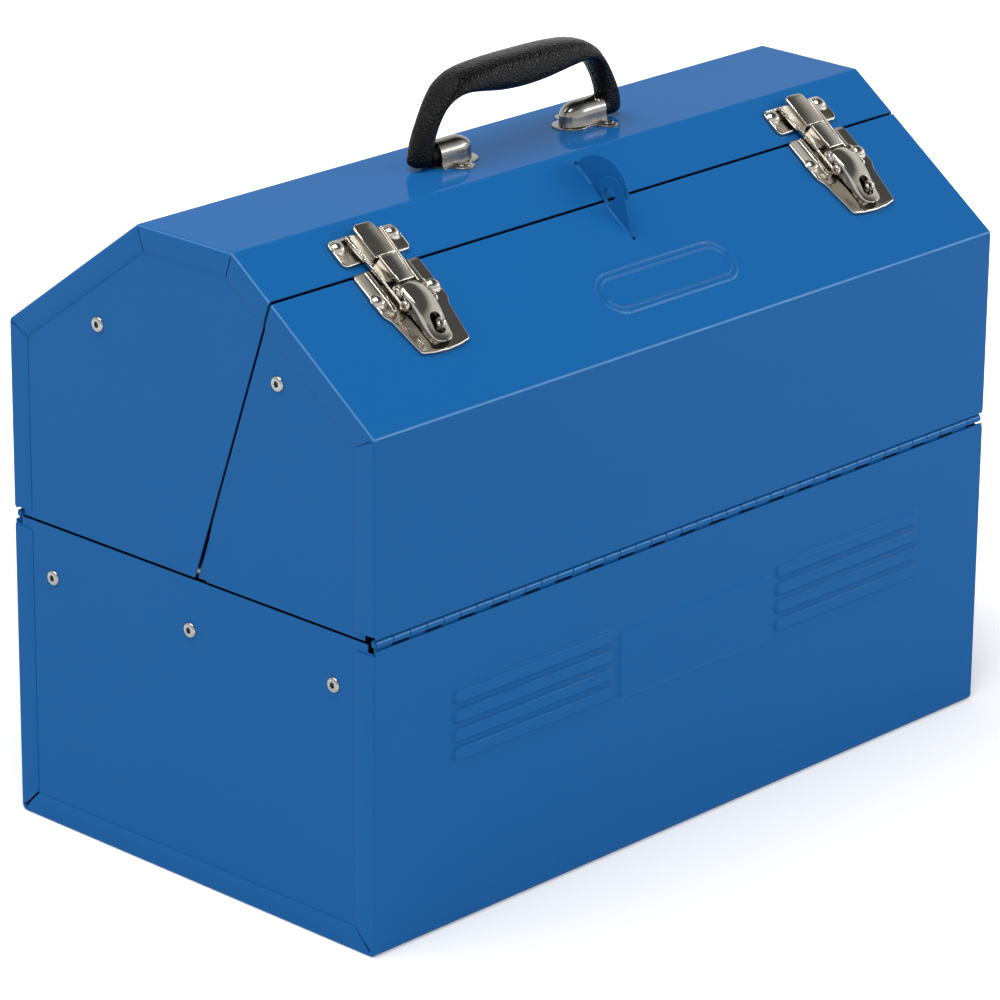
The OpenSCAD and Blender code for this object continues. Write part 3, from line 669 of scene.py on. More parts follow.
@dataclass
class Wrap:
    """Sheet bent along X round the box, with flanges folded over its two ends.

    The inside of the box is to the left of the corners' way round.
    """

    name: str
    corners: Outline
    ends: tuple[Flat, Flat]
    pressings: dict[int, list[Pressing]] = field(default_factory=dict)
    bend_radius: float = 3.0
    bend_steps: int = 8
    fold_radius: float = 1.3
    fold_steps: int = 5
    flange: float = 13.0
    slit: float = 0.6
    taper: float = 2.4
    sink: float = 0.55
    wide_slits: dict[int, float] = field(default_factory=dict)
    trims: Flat = (0.0, 0.0)
    parts: int = 6
    mesh_lines: float = 40.0
    clearance: float = 3.0
    rim: float = 0.18
    # How narrowly the painted highlight gathers in the middle of each bend and fold.
    highlight_focus: float = 3.2

    def side(self, i: int) -> tuple[Vector, Vector, Vector]:
        """Start of a side, its direction, and the direction into the box.

        Args:
            i: Number of the side.

        Returns:
            The three, in the plane of (y, z).
        """
        a, b = Vector(self.corners[i]), Vector(self.corners[i + 1])
        u = (b - a).normalized()
        return a, u, Vector((-u.y, u.x))

    def stations(self, i: int) -> list[float]:
        """Places of the mesh lines along a side, measured from its first corner.

        Args:
            i: Number of the side.

        Returns:
            The places in order.
        """
        length = (Vector(self.corners[i + 1]) - Vector(self.corners[i])).length
        lines = [length * k / self.parts for k in range(1, self.parts)]
        marks = [t for p in self.pressings.get(i, []) for t in p.lines(1)]
        lines = [t for t in lines if all(abs(t - m) > self.clearance for m in marks)] + marks
        if i == 0:
            lines.append(self.trims[0])
        if i == len(self.corners) - 2:
            lines.append(length - self.trims[1])
        return sorted({round(t, 3) for t in lines if 0.5 < t < length - 0.5})

    def ring(self, depth: float, slit: bool) -> tuple[list[Vector], list[bool], list[tuple[int, float]]]:
        """Outline of the sheet moved into the box.

        Args:
            depth: How far it is moved in.
            slit: Whether the flanges are apart at the corners.

        Returns:
            The points, whether the face after each closes a corner, and each one's side and place along it.
        """
        points, corner, marks = [], [], []
        sides = [self.side(i) for i in range(len(self.corners) - 1)]
        lines = [(a + inner * depth, u) for a, u, inner in sides]
        first = meet(*lines[0], Vector(self.corners[0]), Vector(self.ends[0]))
        last = meet(*lines[-1], Vector(self.corners[-1]), Vector(self.ends[1]))
        knots = [first] + [meet(*p, *q) for p, q in zip(lines, lines[1:])] + [last]
        radius = max(self.bend_radius - depth, 0.0)
        for i, (a, u, inner) in enumerate(sides):
            setback = [0.0, 0.0]
            for k, other in ((0, i - 1), (1, i + 1)):
                if 0 <= other < len(sides):
                    turn = u.angle(sides[other][1])
                    gap = self.wide_slits.get(max(i, other), self.slit) / 2 if slit else 0.0
                    setback[k] = max(radius * math.tan(turn / 2), gap)
            start, stop = knots[i] + u * setback[0], knots[i + 1] - u * setback[1]
            line = [start] + [a + u * t + inner * depth for t in self.stations(i)] + [stop]
            places = [0.0] + self.stations(i) + [(stop - a).dot(u)]
            points += line
            corner += [False] * len(line)
            marks += [(i, t) for t in places]
            if i + 1 < len(sides):
                corner[-1] = True
                following = sides[i + 1][1]
                turn = u.angle(following)
                pivot = stop + inner * max(radius, 0.001)
                for k in range(1, self.bend_steps):
                    spoke = stop - pivot
                    spoke.rotate(Matrix.Rotation(turn * k / self.bend_steps, 2))
                    if slit:
                        spoke = (stop - pivot) * (1 - k / self.bend_steps)
                    points.append(pivot + spoke)
                    corner.append(True)
                    marks.append((i, -k / self.bend_steps))
        return points, corner, marks

    def ladder(self) -> list[tuple[float, float, bool]]:
        """Rings of the sheet from the middle to the right end.

        Returns:
            Each ring's x and depth, and whether it is apart at the corners.
        """
        last = END_X - self.fold_radius
        marks = {round(abs(x), 3) for group in self.pressings.values() for p in group for x in p.lines(0)}
        spread = [self.mesh_lines * k for k in range(6)]
        plain = [x for x in spread if all(abs(x - m) > self.clearance for m in marks)]
        rings = [(x, 0.0, False) for x in sorted([*marks, *plain, last])]
        for k in range(1, self.fold_steps + 1):
            a = math.pi / 2 * k / self.fold_steps
            rings.append((last + self.fold_radius * math.sin(a), self.fold_radius * (1 - math.cos(a)), False))
        rings += [
            (END_X, self.fold_radius + 0.3, True), (END_X, self.flange * 0.5, True),
            (END_X, self.flange - self.taper, True), (END_X - self.sink, self.flange, True),
        ]
        return rings

    def bend_highlight_share(self, depth: float, t: float) -> float:
        """How near a point lies to the middle of a bend or of an end's fold, which sets the painted highlight
        there.

        Args:
            depth: How far the point lies inside.
            t: Place along its side, or less than 0 on a bend.

        Returns:
            1 in the middle, falling to 0 at the borders.
        """
        shares = [-t if t < 0 else 0.0]
        if 0 < depth <= self.fold_radius:
            shares.append(math.acos(1 - depth / self.fold_radius) / (math.pi / 2))
        return max(max(1 - abs(share - 0.5) * self.highlight_focus, 0.0) for share in shares)

    def build(self) -> Piece:
        """Makes the sheet and gives it its thickness.

        Returns:
            The closed solid.
        """
        right = self.ladder()
        steps = [(-x, d, s) for x, d, s in reversed(right)] + [r for r in right if r[0] > 0]
        rows, bends = [], []
        for x, depth, slit in steps:
            points, corner, marks = self.ring(depth, slit)
            row = []
            for point, (i, t) in zip(points, marks):
                pressed = self.pressings.get(i, []) if depth == 0 and t >= 0 else []
                spot = point - self.side(i)[2] * sum(p.rise(x, t) for p in pressed)
                row.append(Vector((x, spot.x, spot.y)) * MM)
                # Each point keeps the strength of its painted highlight, from its bend or its bead's falling
                # shoulder.
                bends.append(max([self.bend_highlight_share(depth, t)] + [p.lip_highlight_share(x, t) for p in pressed]))
            rows.append(row)
        piece = sheet_of(self.name, rows)
        mark_painted_highlights(piece, bends)
        self.open_corners(piece, steps, corner)
        edit(piece, lambda: merge_near(0.003))
        return soften(thicken(piece), self.rim, 2, 60.0)

    def open_corners(self, piece: Piece, steps: list[tuple[float, float, bool]], corner: list[bool]) -> None:
        """Deletes the faces between the flanges at each corner, and the trimmed ends of the flanges.

        Args:
            piece: The open sheet.
            steps: Rings of the sheet from end to end.
            corner: Whether the face after each point closes a corner.
        """
        columns = len(corner) - 1
        for number, face in enumerate(piece.data.polygons):
            row, column = divmod(number, columns)
            flange = steps[row][2] and steps[row + 1][2]
            folded = max(steps[row][1], steps[row + 1][1]) > 0
            ends = (self.trims[0] > 0 and column == 0) or (self.trims[1] > 0 and column == columns - 1)
            face.select = (flange and corner[column]) or (folded and ends)
        select_only_faces(piece)
        delete_faces()
        bpy.ops.object.mode_set(mode="OBJECT")


def select_only_faces(piece: Piece) -> None:
    """Enters edit mode with the faces selected that carry the selection flag, and nothing else.

    Args:
        piece: The piece to edit.
    """
    chosen = [face.index for face in piece.data.polygons if face.select]
    enter(piece, "FACE")
    net = bmesh.from_edit_mesh(piece.data)
    net.faces.ensure_lookup_table()
    for index in chosen:
        net.faces[index].select_set(True)
    bmesh.update_edit_mesh(piece.data)


class Pen:
    """Adds nodes to a tree and links them."""

    def __init__(self, tree: NodeTree) -> None:
        """Starts on a tree.

        Args:
            tree: The tree to draw in.
        """
        self.tree = tree

    def node(self, kind: str, operation: str = "", **values: object) -> bpy.types.Node:
        """Adds a node.

        Args:
            kind: Type of the node, without its prefix.
            operation: Operation of a Math node, or nothing.
            values: Values or sockets for its inputs, where an underscore stands for a space.

        Returns:
            The new node.
        """
        made = self.tree.nodes.new("ShaderNode" + kind)
        if operation:
            made.operation = operation
        for key, value in values.items():
            socket = made.inputs[int(key[1:])] if key[1:].isdigit() else made.inputs[key.replace("_", " ")]
            self.link(value, socket)
        return made

    def link(self, value: object, socket: Socket) -> None:
        """Gives an input its value, or links it to a socket.

        Args:
            value: Value or socket.
            socket: The input.
        """
        if isinstance(value, Socket):
            self.tree.links.new(value, socket)
        else:
            socket.default_value = value

    def where(self) -> Socket:
        """The surface's place in the piece's own coordinates."""
        return self.node("TexCoord").outputs["Object"]

    def ramp(self, value: object, start: object, stop: object, low: float = 0.0, high: float = 1.0) -> Socket:
        """Value that goes from low to high while another goes from start to stop."""
        node = self.node("MapRange", Value=value, From_Min=start, From_Max=stop, To_Min=low, To_Max=high)
        return node.outputs[0]

    def noise(self, scale: object, detail: float, **values: float) -> Socket:
        """Noise over the surface, from 0 to 1."""
        return self.node("TexNoise", Vector=self.where(), Scale=scale, Detail=detail, **values).outputs[0]

    def effect(self, group: NodeTree, **values: float) -> Socket:
        """Output of a shared effect with values for some of its inputs.

        Args:
            group: The effect's node group.
            values: Values by the inputs' names.

        Returns:
            The output.
        """
        node = self.node("Group")
        node.node_tree = group
        for key, value in values.items():
            node.inputs[key].default_value = value
        return node.outputs[0]

    def math(self, operation: str, a: object, b: object) -> Socket:
        """Result of a Math node on two values or sockets."""
        return self.node("Math", operation, i0=a, i1=b).outputs[0]

    def mix(self, share: object, a: object, b: object) -> Socket:
        """Colour between two colours or sockets.

        Args:
            share: Share of the second colour.
            a: The first colour.
            b: The second colour.

        Returns:
            The mixed colour.
        """
        made = self.node("Mix", i0=share)
        made.data_type = "RGBA"
        for place, value in ((6, a), (7, b)):
            self.link(value, made.inputs[place])
        return made.outputs[2]


def effect(name: str, inputs: dict[str, float], draw: Callable[[Pen, dict], Socket]) -> NodeTree:
    """Node group with float inputs and one float output.

    Args:
        name: Name of the group.
        inputs: Its inputs with their usual values.
        draw: Draws the group's inside and returns the socket to put out.

    Returns:
        The node group.
    """
    tree = bpy.data.node_groups.new(name, "ShaderNodeTree")
    for key, value in inputs.items():
        tree.interface.new_socket(key, in_out="INPUT", socket_type="NodeSocketFloat").default_value = value
    tree.interface.new_socket("Value", in_out="OUTPUT", socket_type="NodeSocketFloat")
    into, out = tree.nodes.new("NodeGroupInput"), tree.nodes.new("NodeGroupOutput")
    result = draw(Pen(tree), {key: into.outputs[key] for key in inputs})
    tree.links.new(result, out.inputs[0])
    return tree


def draw_worn_edges(pen: Pen, values: dict) -> Socket:
    """Mask of the sharp outer edges, broken up by noise."""
    edge = pen.ramp(pen.node("NewGeometry").outputs["Pointiness"], values["Start"], values["End"])
    return pen.math("MULTIPLY", edge, pen.ramp(pen.noise(values["Scale"], 4.0), 0.35, 0.6))


def draw_painted_bend_highlight(pen: Pen, values: dict) -> Socket:
    """Painted highlight: paler paint over the bends that look up, from the sheets' own mark.

    Args:
        pen: Draws in the group.
        values: The group's inputs.

    Returns:
        The mask.
    """
    mark = pen.node("Attribute")
    mark.attribute_name = HIGHLIGHT_MARK
    up = pen.node("SeparateXYZ", Vector=pen.node("TexCoord").outputs["Normal"]).outputs["Z"]
    rising, falling = pen.ramp(up, values["Low"], values["High"]), pen.ramp(up, values["Top"], values["Fade"])
    return pen.math("MULTIPLY", mark.outputs["Fac"], pen.math("MULTIPLY", rising, falling))


def draw_painted_crease_shade(pen: Pen, values: dict) -> Socket:
    """Mask of the inner corners, where a darker painted shade is laid in."""
    return pen.ramp(pen.node("NewGeometry").outputs["Pointiness"], values["Start"], values["End"])


def draw_handling(pen: Pen, values: dict) -> Socket:
    """Faint smears and wipe marks, from 0 to 1."""
    return pen.ramp(pen.noise(values["Scale"], 5.0, Roughness=0.62, Distortion=0.6), 0.3, 0.72)


def draw_grain(pen: Pen, values: dict) -> Socket:
    """Fine grain of a surface, as a height from 0 to 1."""
    return pen.noise(values["Scale"], 2.0, Roughness=0.5)


def draw_pebbles(pen: Pen, values: dict) -> Socket:
    """Pebbled leather grain of moulded plastic, as a height from 0 to 1.5.

    Args:
        pen: Draws in the group.
        values: The group's inputs.

    Returns:
        The height.
    """
    cells = pen.node("TexVoronoi", Vector=pen.where(), Scale=values["Scale"], Randomness=1.0)
    cells.feature = "SMOOTH_F1"
    raised = pen.math("SUBTRACT", 1.0, cells.outputs["Distance"])
    return pen.math("ADD", raised, pen.math("MULTIPLY", pen.noise(values["Scale"], 3.0), 0.5))


EFFECTS = {
    "worn_edges": ({"Start": 0.52, "End": 0.6, "Scale": 260.0}, draw_worn_edges),
    "painted_crease_shade": ({"Start": 0.49, "End": 0.43}, draw_painted_crease_shade),
    "painted_bend_highlight": ({"Low": 0.15, "High": 0.4, "Fade": 0.65, "Top": 0.92}, draw_painted_bend_highlight),
    "handling": ({"Scale": 14.0}, draw_handling),
    "grain": ({"Scale": 900.0}, draw_grain),
    "pebbles": ({"Scale": 900.0}, draw_pebbles),
}


@dataclass(frozen=True)
class Finish:
    """Base of a surface finish: colour, gloss, grain and wear, with painted shade in inner corners and
    painted highlights on bends.
    """

    slot: Slot
    colour: Colour
    # Colour of the rubbed edges from wear, and on paint the paler colour of its painted highlights.
    wear_and_highlight: Colour
    metallic: float = 0.0
    rough: Flat = (0.3, 0.4)
    wear: float = 0.3
    wear_start: float = 0.52
    wear_end: float = 0.6
    smear_scale: float = 14.0
    grain: str = "grain"
    grain_scale: float = 900.0
    grain_depth: float = 0.02
    specular: float = 0.5
    coat: Flat = (0.0, 0.0)
    coat_roughness: float = 0.05
    coat_ior: float = 1.5
    # Painted shade: share and colour of the darkening laid into inner corners.
    crease_shade: float = 0.0
    shade_colour: Colour = (0.05, 0.045, 0.04)
    # Painted highlight: share of the paler colour laid over bends that look up.
    bend_highlight: float = 0.0

    def material(self, effects: dict[str, NodeTree]) -> bpy.types.Material:
        """Builds the material.

        Args:
            effects: The shared node groups by name.

        Returns:
            The new material.
        """
        made = bpy.data.materials.new(self.slot.value + "_finish")
        made.use_nodes = True
        pen = Pen(made.node_tree)
        shader = made.node_tree.nodes["Principled BSDF"].inputs
        smears = pen.effect(effects["handling"], Scale=self.smear_scale)
        colour: object = (*self.colour, 1.0)
        # Edge wear is the finish's own; the bend mark lays painted highlights and the corner mask lays
        # painted shade into the colour.
        for share, other, name, values in (
            (self.wear, self.wear_and_highlight, "worn_edges", {"Start": self.wear_start, "End": self.wear_end}),
            (self.bend_highlight, self.wear_and_highlight, "painted_bend_highlight", {}), (self.crease_shade, self.shade_colour, "painted_crease_shade", {}),
        ):
            if share > 0:
                mask = pen.math("MULTIPLY", pen.effect(effects[name], **values), share)
                colour = pen.mix(mask, colour, (*other, 1.0))
        pen.link(colour, shader["Base Color"])
        pen.link(pen.ramp(smears, 0.0, 1.0, *self.rough), shader["Roughness"])
        height = pen.effect(effects[self.grain], Scale=self.grain_scale)
        bump = pen.node("Bump", Height=height, Distance=self.grain_depth * MM, Strength=1.0)
        pen.link(bump.outputs[0], shader["Normal"])
        if self.coat[1] > 0:
            pen.link(pen.ramp(smears, 0.0, 1.0, self.coat[1], self.coat[0]), shader["Coat Weight"])
        for name, value in (("Metallic", self.metallic), ("Specular IOR Level", self.specular),
                            ("Coat Roughness", self.coat_roughness), ("Coat IOR", self.coat_ior)):
            shader[name].default_value = value
        return made


# Blue paint, with painted highlights on its bends that look up.
PAINT = Finish(
    Slot.PAINT, (0.0095, 0.109, 0.328), (0.26, 0.48, 0.76), rough=(0.3, 0.4), wear=0.0, bend_highlight=0.42,
    grain_scale=520.0, grain_depth=0.003, specular=0.0, coat=(0.34, 0.38), coat_roughness=0.05, coat_ior=1.22,
)
# Nickel with painted shade laid into its inner corners.
NICKEL = Finish(
    Slot.NICKEL, (0.48, 0.45, 0.4), (0.74, 0.71, 0.66), metallic=1.0, rough=(0.09, 0.2), wear=0.5,
    wear_start=0.56, wear_end=0.66, smear_scale=70.0, grain_scale=1500.0, grain_depth=0.003, crease_shade=0.75,
    shade_colour=(0.1, 0.08, 0.06),
)
# Satin nickel with painted shade laid into its inner corners.
SATIN = Finish(
    Slot.SATIN, (0.26, 0.25, 0.23), (0.5, 0.485, 0.46), metallic=1.0, rough=(0.2, 0.3), wear=0.4,
    wear_start=0.56, wear_end=0.66, smear_scale=60.0, grain_scale=1500.0, grain_depth=0.004, crease_shade=0.6,
    shade_colour=(0.1, 0.08, 0.06),
)
# Zinc with dark painted shade laid into its inner corners and rivet holes.
ZINC = Finish(
    Slot.ZINC, (0.31, 0.32, 0.31), (0.55, 0.56, 0.55), metallic=1.0, rough=(0.22, 0.34), wear=0.4,
    smear_scale=50.0, grain_scale=1600.0, grain_depth=0.005, crease_shade=0.9, shade_colour=(0.04, 0.04, 0.04),
)
GRIP = Finish(
    Slot.GRIP, (0.0015, 0.0015, 0.0018), (0.004, 0.004, 0.0045), rough=(0.2, 0.28), wear=0.3,
    smear_scale=30.0, grain_scale=950.0, grain_depth=0.5, grain="pebbles", specular=0.12,
)


@dataclass
class Assembly:
    """Group of pieces that share the finishes."""

    looks: dict[Slot, bpy.types.Material]

    def fit(self, piece: Piece, body: str, slot: Slot, *nodes: str, angle: float = 30.0) -> None:
        """Dresses a finished piece and puts it on its body.

        Args:
            piece: The finished piece.
            body: Body that it moves with.
            slot: Finish of the piece.
            nodes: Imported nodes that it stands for.
            angle: Edges that turn by more than this, in degrees, stay sharp.
        """
        activate(piece)
        bpy.ops.object.shade_smooth_by_angle(angle=math.radians(angle))
        if slot is Slot.PAINT:
            modify(piece, "WEIGHTED_NORMAL", mode="FACE_AREA", weight=100, keep_sharp=True)
        piece.data.materials.clear()
        piece.data.materials.append(self.looks[slot])
        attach(piece, body)
        if nodes:
            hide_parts(*nodes)
        LOG.info("%s: %d faces, on %s", piece.name, len(piece.data.polygons), body)

    def finish_copy(self, node: str, body: str, slot: Slot, width: float, segments: int = 2) -> None:
        """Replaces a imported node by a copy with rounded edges.

        Args:
            node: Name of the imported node.
            body: Body that it moves with.
            slot: Finish of the piece.
            width: Width of the rounding.
            segments: Faces across it.
        """
        self.fit(drawn(node, width, segments), body, slot, node)


def split_line(side: float) -> tuple[Vector, Vector]:
    """One edge of the lids' split, in the plane of (y, z).

    Args:
        side: 1 for the front lid and -1 for the rear.

    Returns:
        A point of the edge and its direction.
    """
    top = Vector(on_slope(SPLIT_S))
    along = (Vector(SPLIT_FOOT) - top).normalized()
    return top + Vector((along.y, -along.x)) * side * SPLIT_HALF_GAP, along


def split_corner(side: float) -> Flat:
    """(y, z) where one lid's sheet ends at the split."""
    low, high = Vector(on_slope(0.0)), Vector(on_slope(SPLIT_S))
    return tuple(meet(low, (high - low).normalized(), *split_line(side)))


def rivet(name: str, head: Outline, collars: Sequence[tuple[float, float, float]]) -> Piece:
    """Rivet about the Z axis.

    Args:
        name: Name of the new piece.
        head: (radius, height) points of the head, from the axis outwards.
        collars: (from, to, radius) of what follows under the head, from the highest to the lowest.

    Returns:
        The closed solid.
    """
    profile = list(head)
    for low, high, radius in collars:
        profile += [(radius, high), (radius, low)]
    return turned(name, profile + [(0.0, collars[-1][0])])


def eyelet(radius: float, height: float, base: float) -> Outline:
    """Rolled head of a tubular rivet with an open middle, as (radius, height) points from a plane at base."""
    return [(r * radius, base + h * height) for r, h in EYELET_SHARES]


def dome(radius: float, height: float, base: float, steps: int) -> Outline:
    """Round head of a rivet.

    Args:
        radius: Radius at its foot.
        height: Height of its crown.
        base: Height of the plane that it stands on.
        steps: Points from the crown to the foot.

    Returns:
        (radius, height) points from the axis outwards.
    """
    ball = (radius * radius + height * height) / (2 * height)
    reach = math.asin(radius / ball)
    arc = [(ball * math.sin(reach * k / steps), ball * math.cos(reach * k / steps)) for k in range(steps + 1)]
    return [(r, base + h - ball + height) for r, h in arc]


@dataclass(frozen=True)
class Pivot:
    """Tubular rivet through an end plate, with the arms that turn on it."""

    head: Flat = (4.0, 1.5)
    shank: float = 3.0
    shoulder: float = 3.5
    journal: float = 2.0
    room: float = 1.65
    play: float = 0.2

    def pair(self, y: float, z: float, arms: Sequence[float], foot: Flat) -> list[Piece]:
        """Rivets of both ends.

        Args:
            y: Their place across the box.
            z: Their height.
            arms: X of each arm's inner face, from the end plate inwards.
            foot: Thickness and radius of the head behind the last arm.

        Returns:
            The right rivet and its mirror image.
        """
        collars, above = [(PLATE_X, FLANGE_X, self.shank)], PLATE_X
        for arm in arms:
            collars.append((arm + self.room, above, self.shoulder))
            collars.append((arm - self.play, arm + self.room, self.journal))
            above = arm - self.play
        collars.append((above - foot[0], above, foot[1]))
        one = placed(rivet("pivot", eyelet(*self.head, FLANGE_X), collars), shift(0, y, z), ALONG_X)
        return [one, twin(one, "pivot_left", TO_LEFT)]


@dataclass
class BaseCase(Assembly):
    """Lower half of the box: wrapped sheet with its pressed front, two end plates and their rivets."""

    top: float = 159.5
    bend_radius: float = 3.5
    flange_drop: float = 2.5
    corner_slits: Flat = (0.9, 1.7)
    rib_ends: Flat = (62.0, 176.5)
    rib_low: float = 87.0
    rib_height: float = 7.0
    rib_pitch: float = 10.0
    rib_radius: float = 3.4
    rib_raised: float = 1.5
    ribs: int = 4
    panel: tuple[Flat, Flat] = ((-57.0, 85.0), (57.0, 121.0))
    panel_radius: float = 3.0
    panel_raised: float = 0.8
    mitre: float = 12.4
    mitre_hole: float = 0.9
    mitres: tuple[tuple[float, float, float], ...] = ((-1.0, 0.7, 4.0), (1.0, 1.5, 2.0))
    pivot_y: float = 100.0
    pivot_z: float = 135.0
    arms: Flat = (222.7, 219.7)
    rivet_foot: Flat = (1.0, 3.5)

    def pressing(self, low: Flat, high: Flat, radius: float, raised: float) -> Pressing:
        """Pressing of the front wall between two corners given as (x, z)."""
        return Pressing((low[0], self.top - high[1]), (high[0], self.top - low[1]), radius, raised)

    def pressings(self) -> list[Pressing]:
        """Ribs and panel of the front, with their heights measured down from the top edge.

        Returns:
            The panel and the ribs.
        """
        made = [self.pressing(*self.panel, self.panel_radius, self.panel_raised)]
        for i in range(self.ribs):
            low = self.rib_low + i * self.rib_pitch
            high = low + self.rib_height
            for a, b in (self.rib_ends, (-self.rib_ends[1], -self.rib_ends[0])):
                made.append(self.pressing((a, low), (b, high), self.rib_radius, self.rib_raised))
        return made

    def build(self) -> None:
        """Makes the sheet, the ends and the rivets."""
        wrap = Wrap(
            "base_wrap", [(-WALL_Y, self.top), (-WALL_Y, 0.0), (WALL_Y, 0.0), (WALL_Y, self.top)],
            ((1.0, 0.0), (1.0, 0.0)), {0: self.pressings()}, bend_radius=self.bend_radius,
            wide_slits=dict(enumerate(self.corner_slits, 1)), trims=(self.flange_drop, self.flange_drop),
        )
        self.fit(wrap.build(), "base", Slot.PAINT, "base_shell", angle=SHEET_ANGLE)
        for side in SIDES:
            end = drawn(f"base_end_{side}", PLATE_SOFT)
            for mitre in self.mitres:
                cut(end, self.slit(*mitre))
            self.fit(end, "base", Slot.PAINT, f"base_end_{side}")
        self.fit(self.rivets(), "base", Slot.ZINC, "base_end_rivets")

    def slit(self, way: float, width: float, start: float) -> Piece:
        """Cutter of the open mitre at a lower corner, with a round end.

        Args:
            way: -1 at the front and 1 at the rear.
            width: Width of the slit.
            start: Where it starts, across and up from the corner.

        Returns:
            The cutter, through both ends.
        """
        half = width / 2 / math.sqrt(2)
        line = [(start + half, start - half), (self.mitre + half, self.mitre - half)]
        line += circle((self.mitre, self.mitre), max(half * 1.6, self.mitre_hole), 12, -30, 120)
        line += [(self.mitre - half, self.mitre + half), (start - half, start + half)]
        return prism("slit", [(way * (WALL_Y - a), b) for a, b in line], -END_X - 1, END_X + 1, Axis.X)

    def rivets(self) -> Piece:
        """The six pivots of the arms. The front and the rear set share the middle ones.

        Returns:
            The joined rivets.
        """
        front, rear = self.arms
        made = []
        for y, arms in ((-self.pivot_y, [front]), (self.pivot_y, [rear]), (0.0, [front, rear])):
            made += Pivot().pair(y, self.pivot_z, arms, self.rivet_foot)
        return joined("base_pivot_rivets", made)


@dataclass
class PianoHinge(Assembly):
    """One long hinge, painted with the box: two rows of knuckles, their leaves and the wire through them."""

    rear: bool
    radius: float = 2.3
    # Angle round the barrel and width, in degrees, of the highlight line painted along each knuckle.
    highlight_line: float = 30.0
    highlight_width: float = 15.0
    count: int = 20
    pitch: float = 11.4
    gap: float = 0.3
    inset: float = 2.0
    neck: Flat = (1.0, 1.6)
    web: Flat = (1.4, 2.5)
    leaf: Flat = (3.1, 15.1)

    def knuckle(self, start: float, stop: float) -> Piece:
        """One knuckle, marked with a painted highlight line along it.

        Args:
            start: X of its left end.
            stop: X of its right end.

        Returns:
            The piece.
        """
        outline = circle((-HINGE_Y, HINGE_Z), self.radius, 24)
        roll = soften(prism("roll", outline, start, stop, Axis.X), 0.45, 3)
        marks = []
        for vertex in roll.data.vertices:
            _, y, z = vertex.co / MM
            away = math.degrees(math.atan2(z - HINGE_Z, -HINGE_Y - y)) - self.highlight_line
            marks.append(max(1 - abs(away) / self.highlight_width, 0.0))
        mark_painted_highlights(roll, marks)
        return roll

    def leaf_piece(self, name: str, first: int, side: float) -> Piece:
        """A leaf with its knuckles.

        Args:
            name: Name of the new piece.
            first: Number of its first knuckle.
            side: -1 for the leaf on the base, and 1 for the one on the lid.

        Returns:
            The piece.
        """
        start = -END_X + self.inset + first * self.pitch + self.gap / 2
        stop = start + self.pitch - self.gap
        low, high = sorted((HINGE_Z + side * self.neck[0], HINGE_Z + side * (self.leaf[0] + self.neck[1])))
        near, far = (-WALL_Y + depth for depth in self.web)
        web = prism("web", box_outline((near, low), (far, high)), start, stop, Axis.X)
        row = joined("row", [self.knuckle(start, stop), soften(web, 0.2)])
        modify(row, "ARRAY", count=self.count, use_relative_offset=False, use_constant_offset=True,
               constant_offset_displace=(2 * self.pitch * MM, 0, 0))
        low, high = sorted(HINGE_Z + side * z for z in self.leaf)
        outline = box_outline((-WALL_Y + SHEET, low), (-WALL_Y + 2 * SHEET, high))
        plate = prism("plate", outline, -END_X + self.inset, END_X - self.inset, Axis.X)
        piece = joined(name, [row, soften(plate, 0.15)])
        return placed(piece, TO_REAR) if self.rear else piece

    def build(self) -> None:
        """Makes both leaves and the wire."""
        where = "rear" if self.rear else "front"
        for part, body, first, side in (("base", "base", 0, -1.0), ("lid", f"{where}_lid", 1, 1.0)):
            leaf = self.leaf_piece(f"{where}_knuckles_on_{part}", first, side)
            self.fit(leaf, body, Slot.PAINT, f"{where}_hinge_{part}_leaf")
        self.finish_copy(f"{where}_hinge_pin", "base", Slot.PAINT, 0.3, 3)


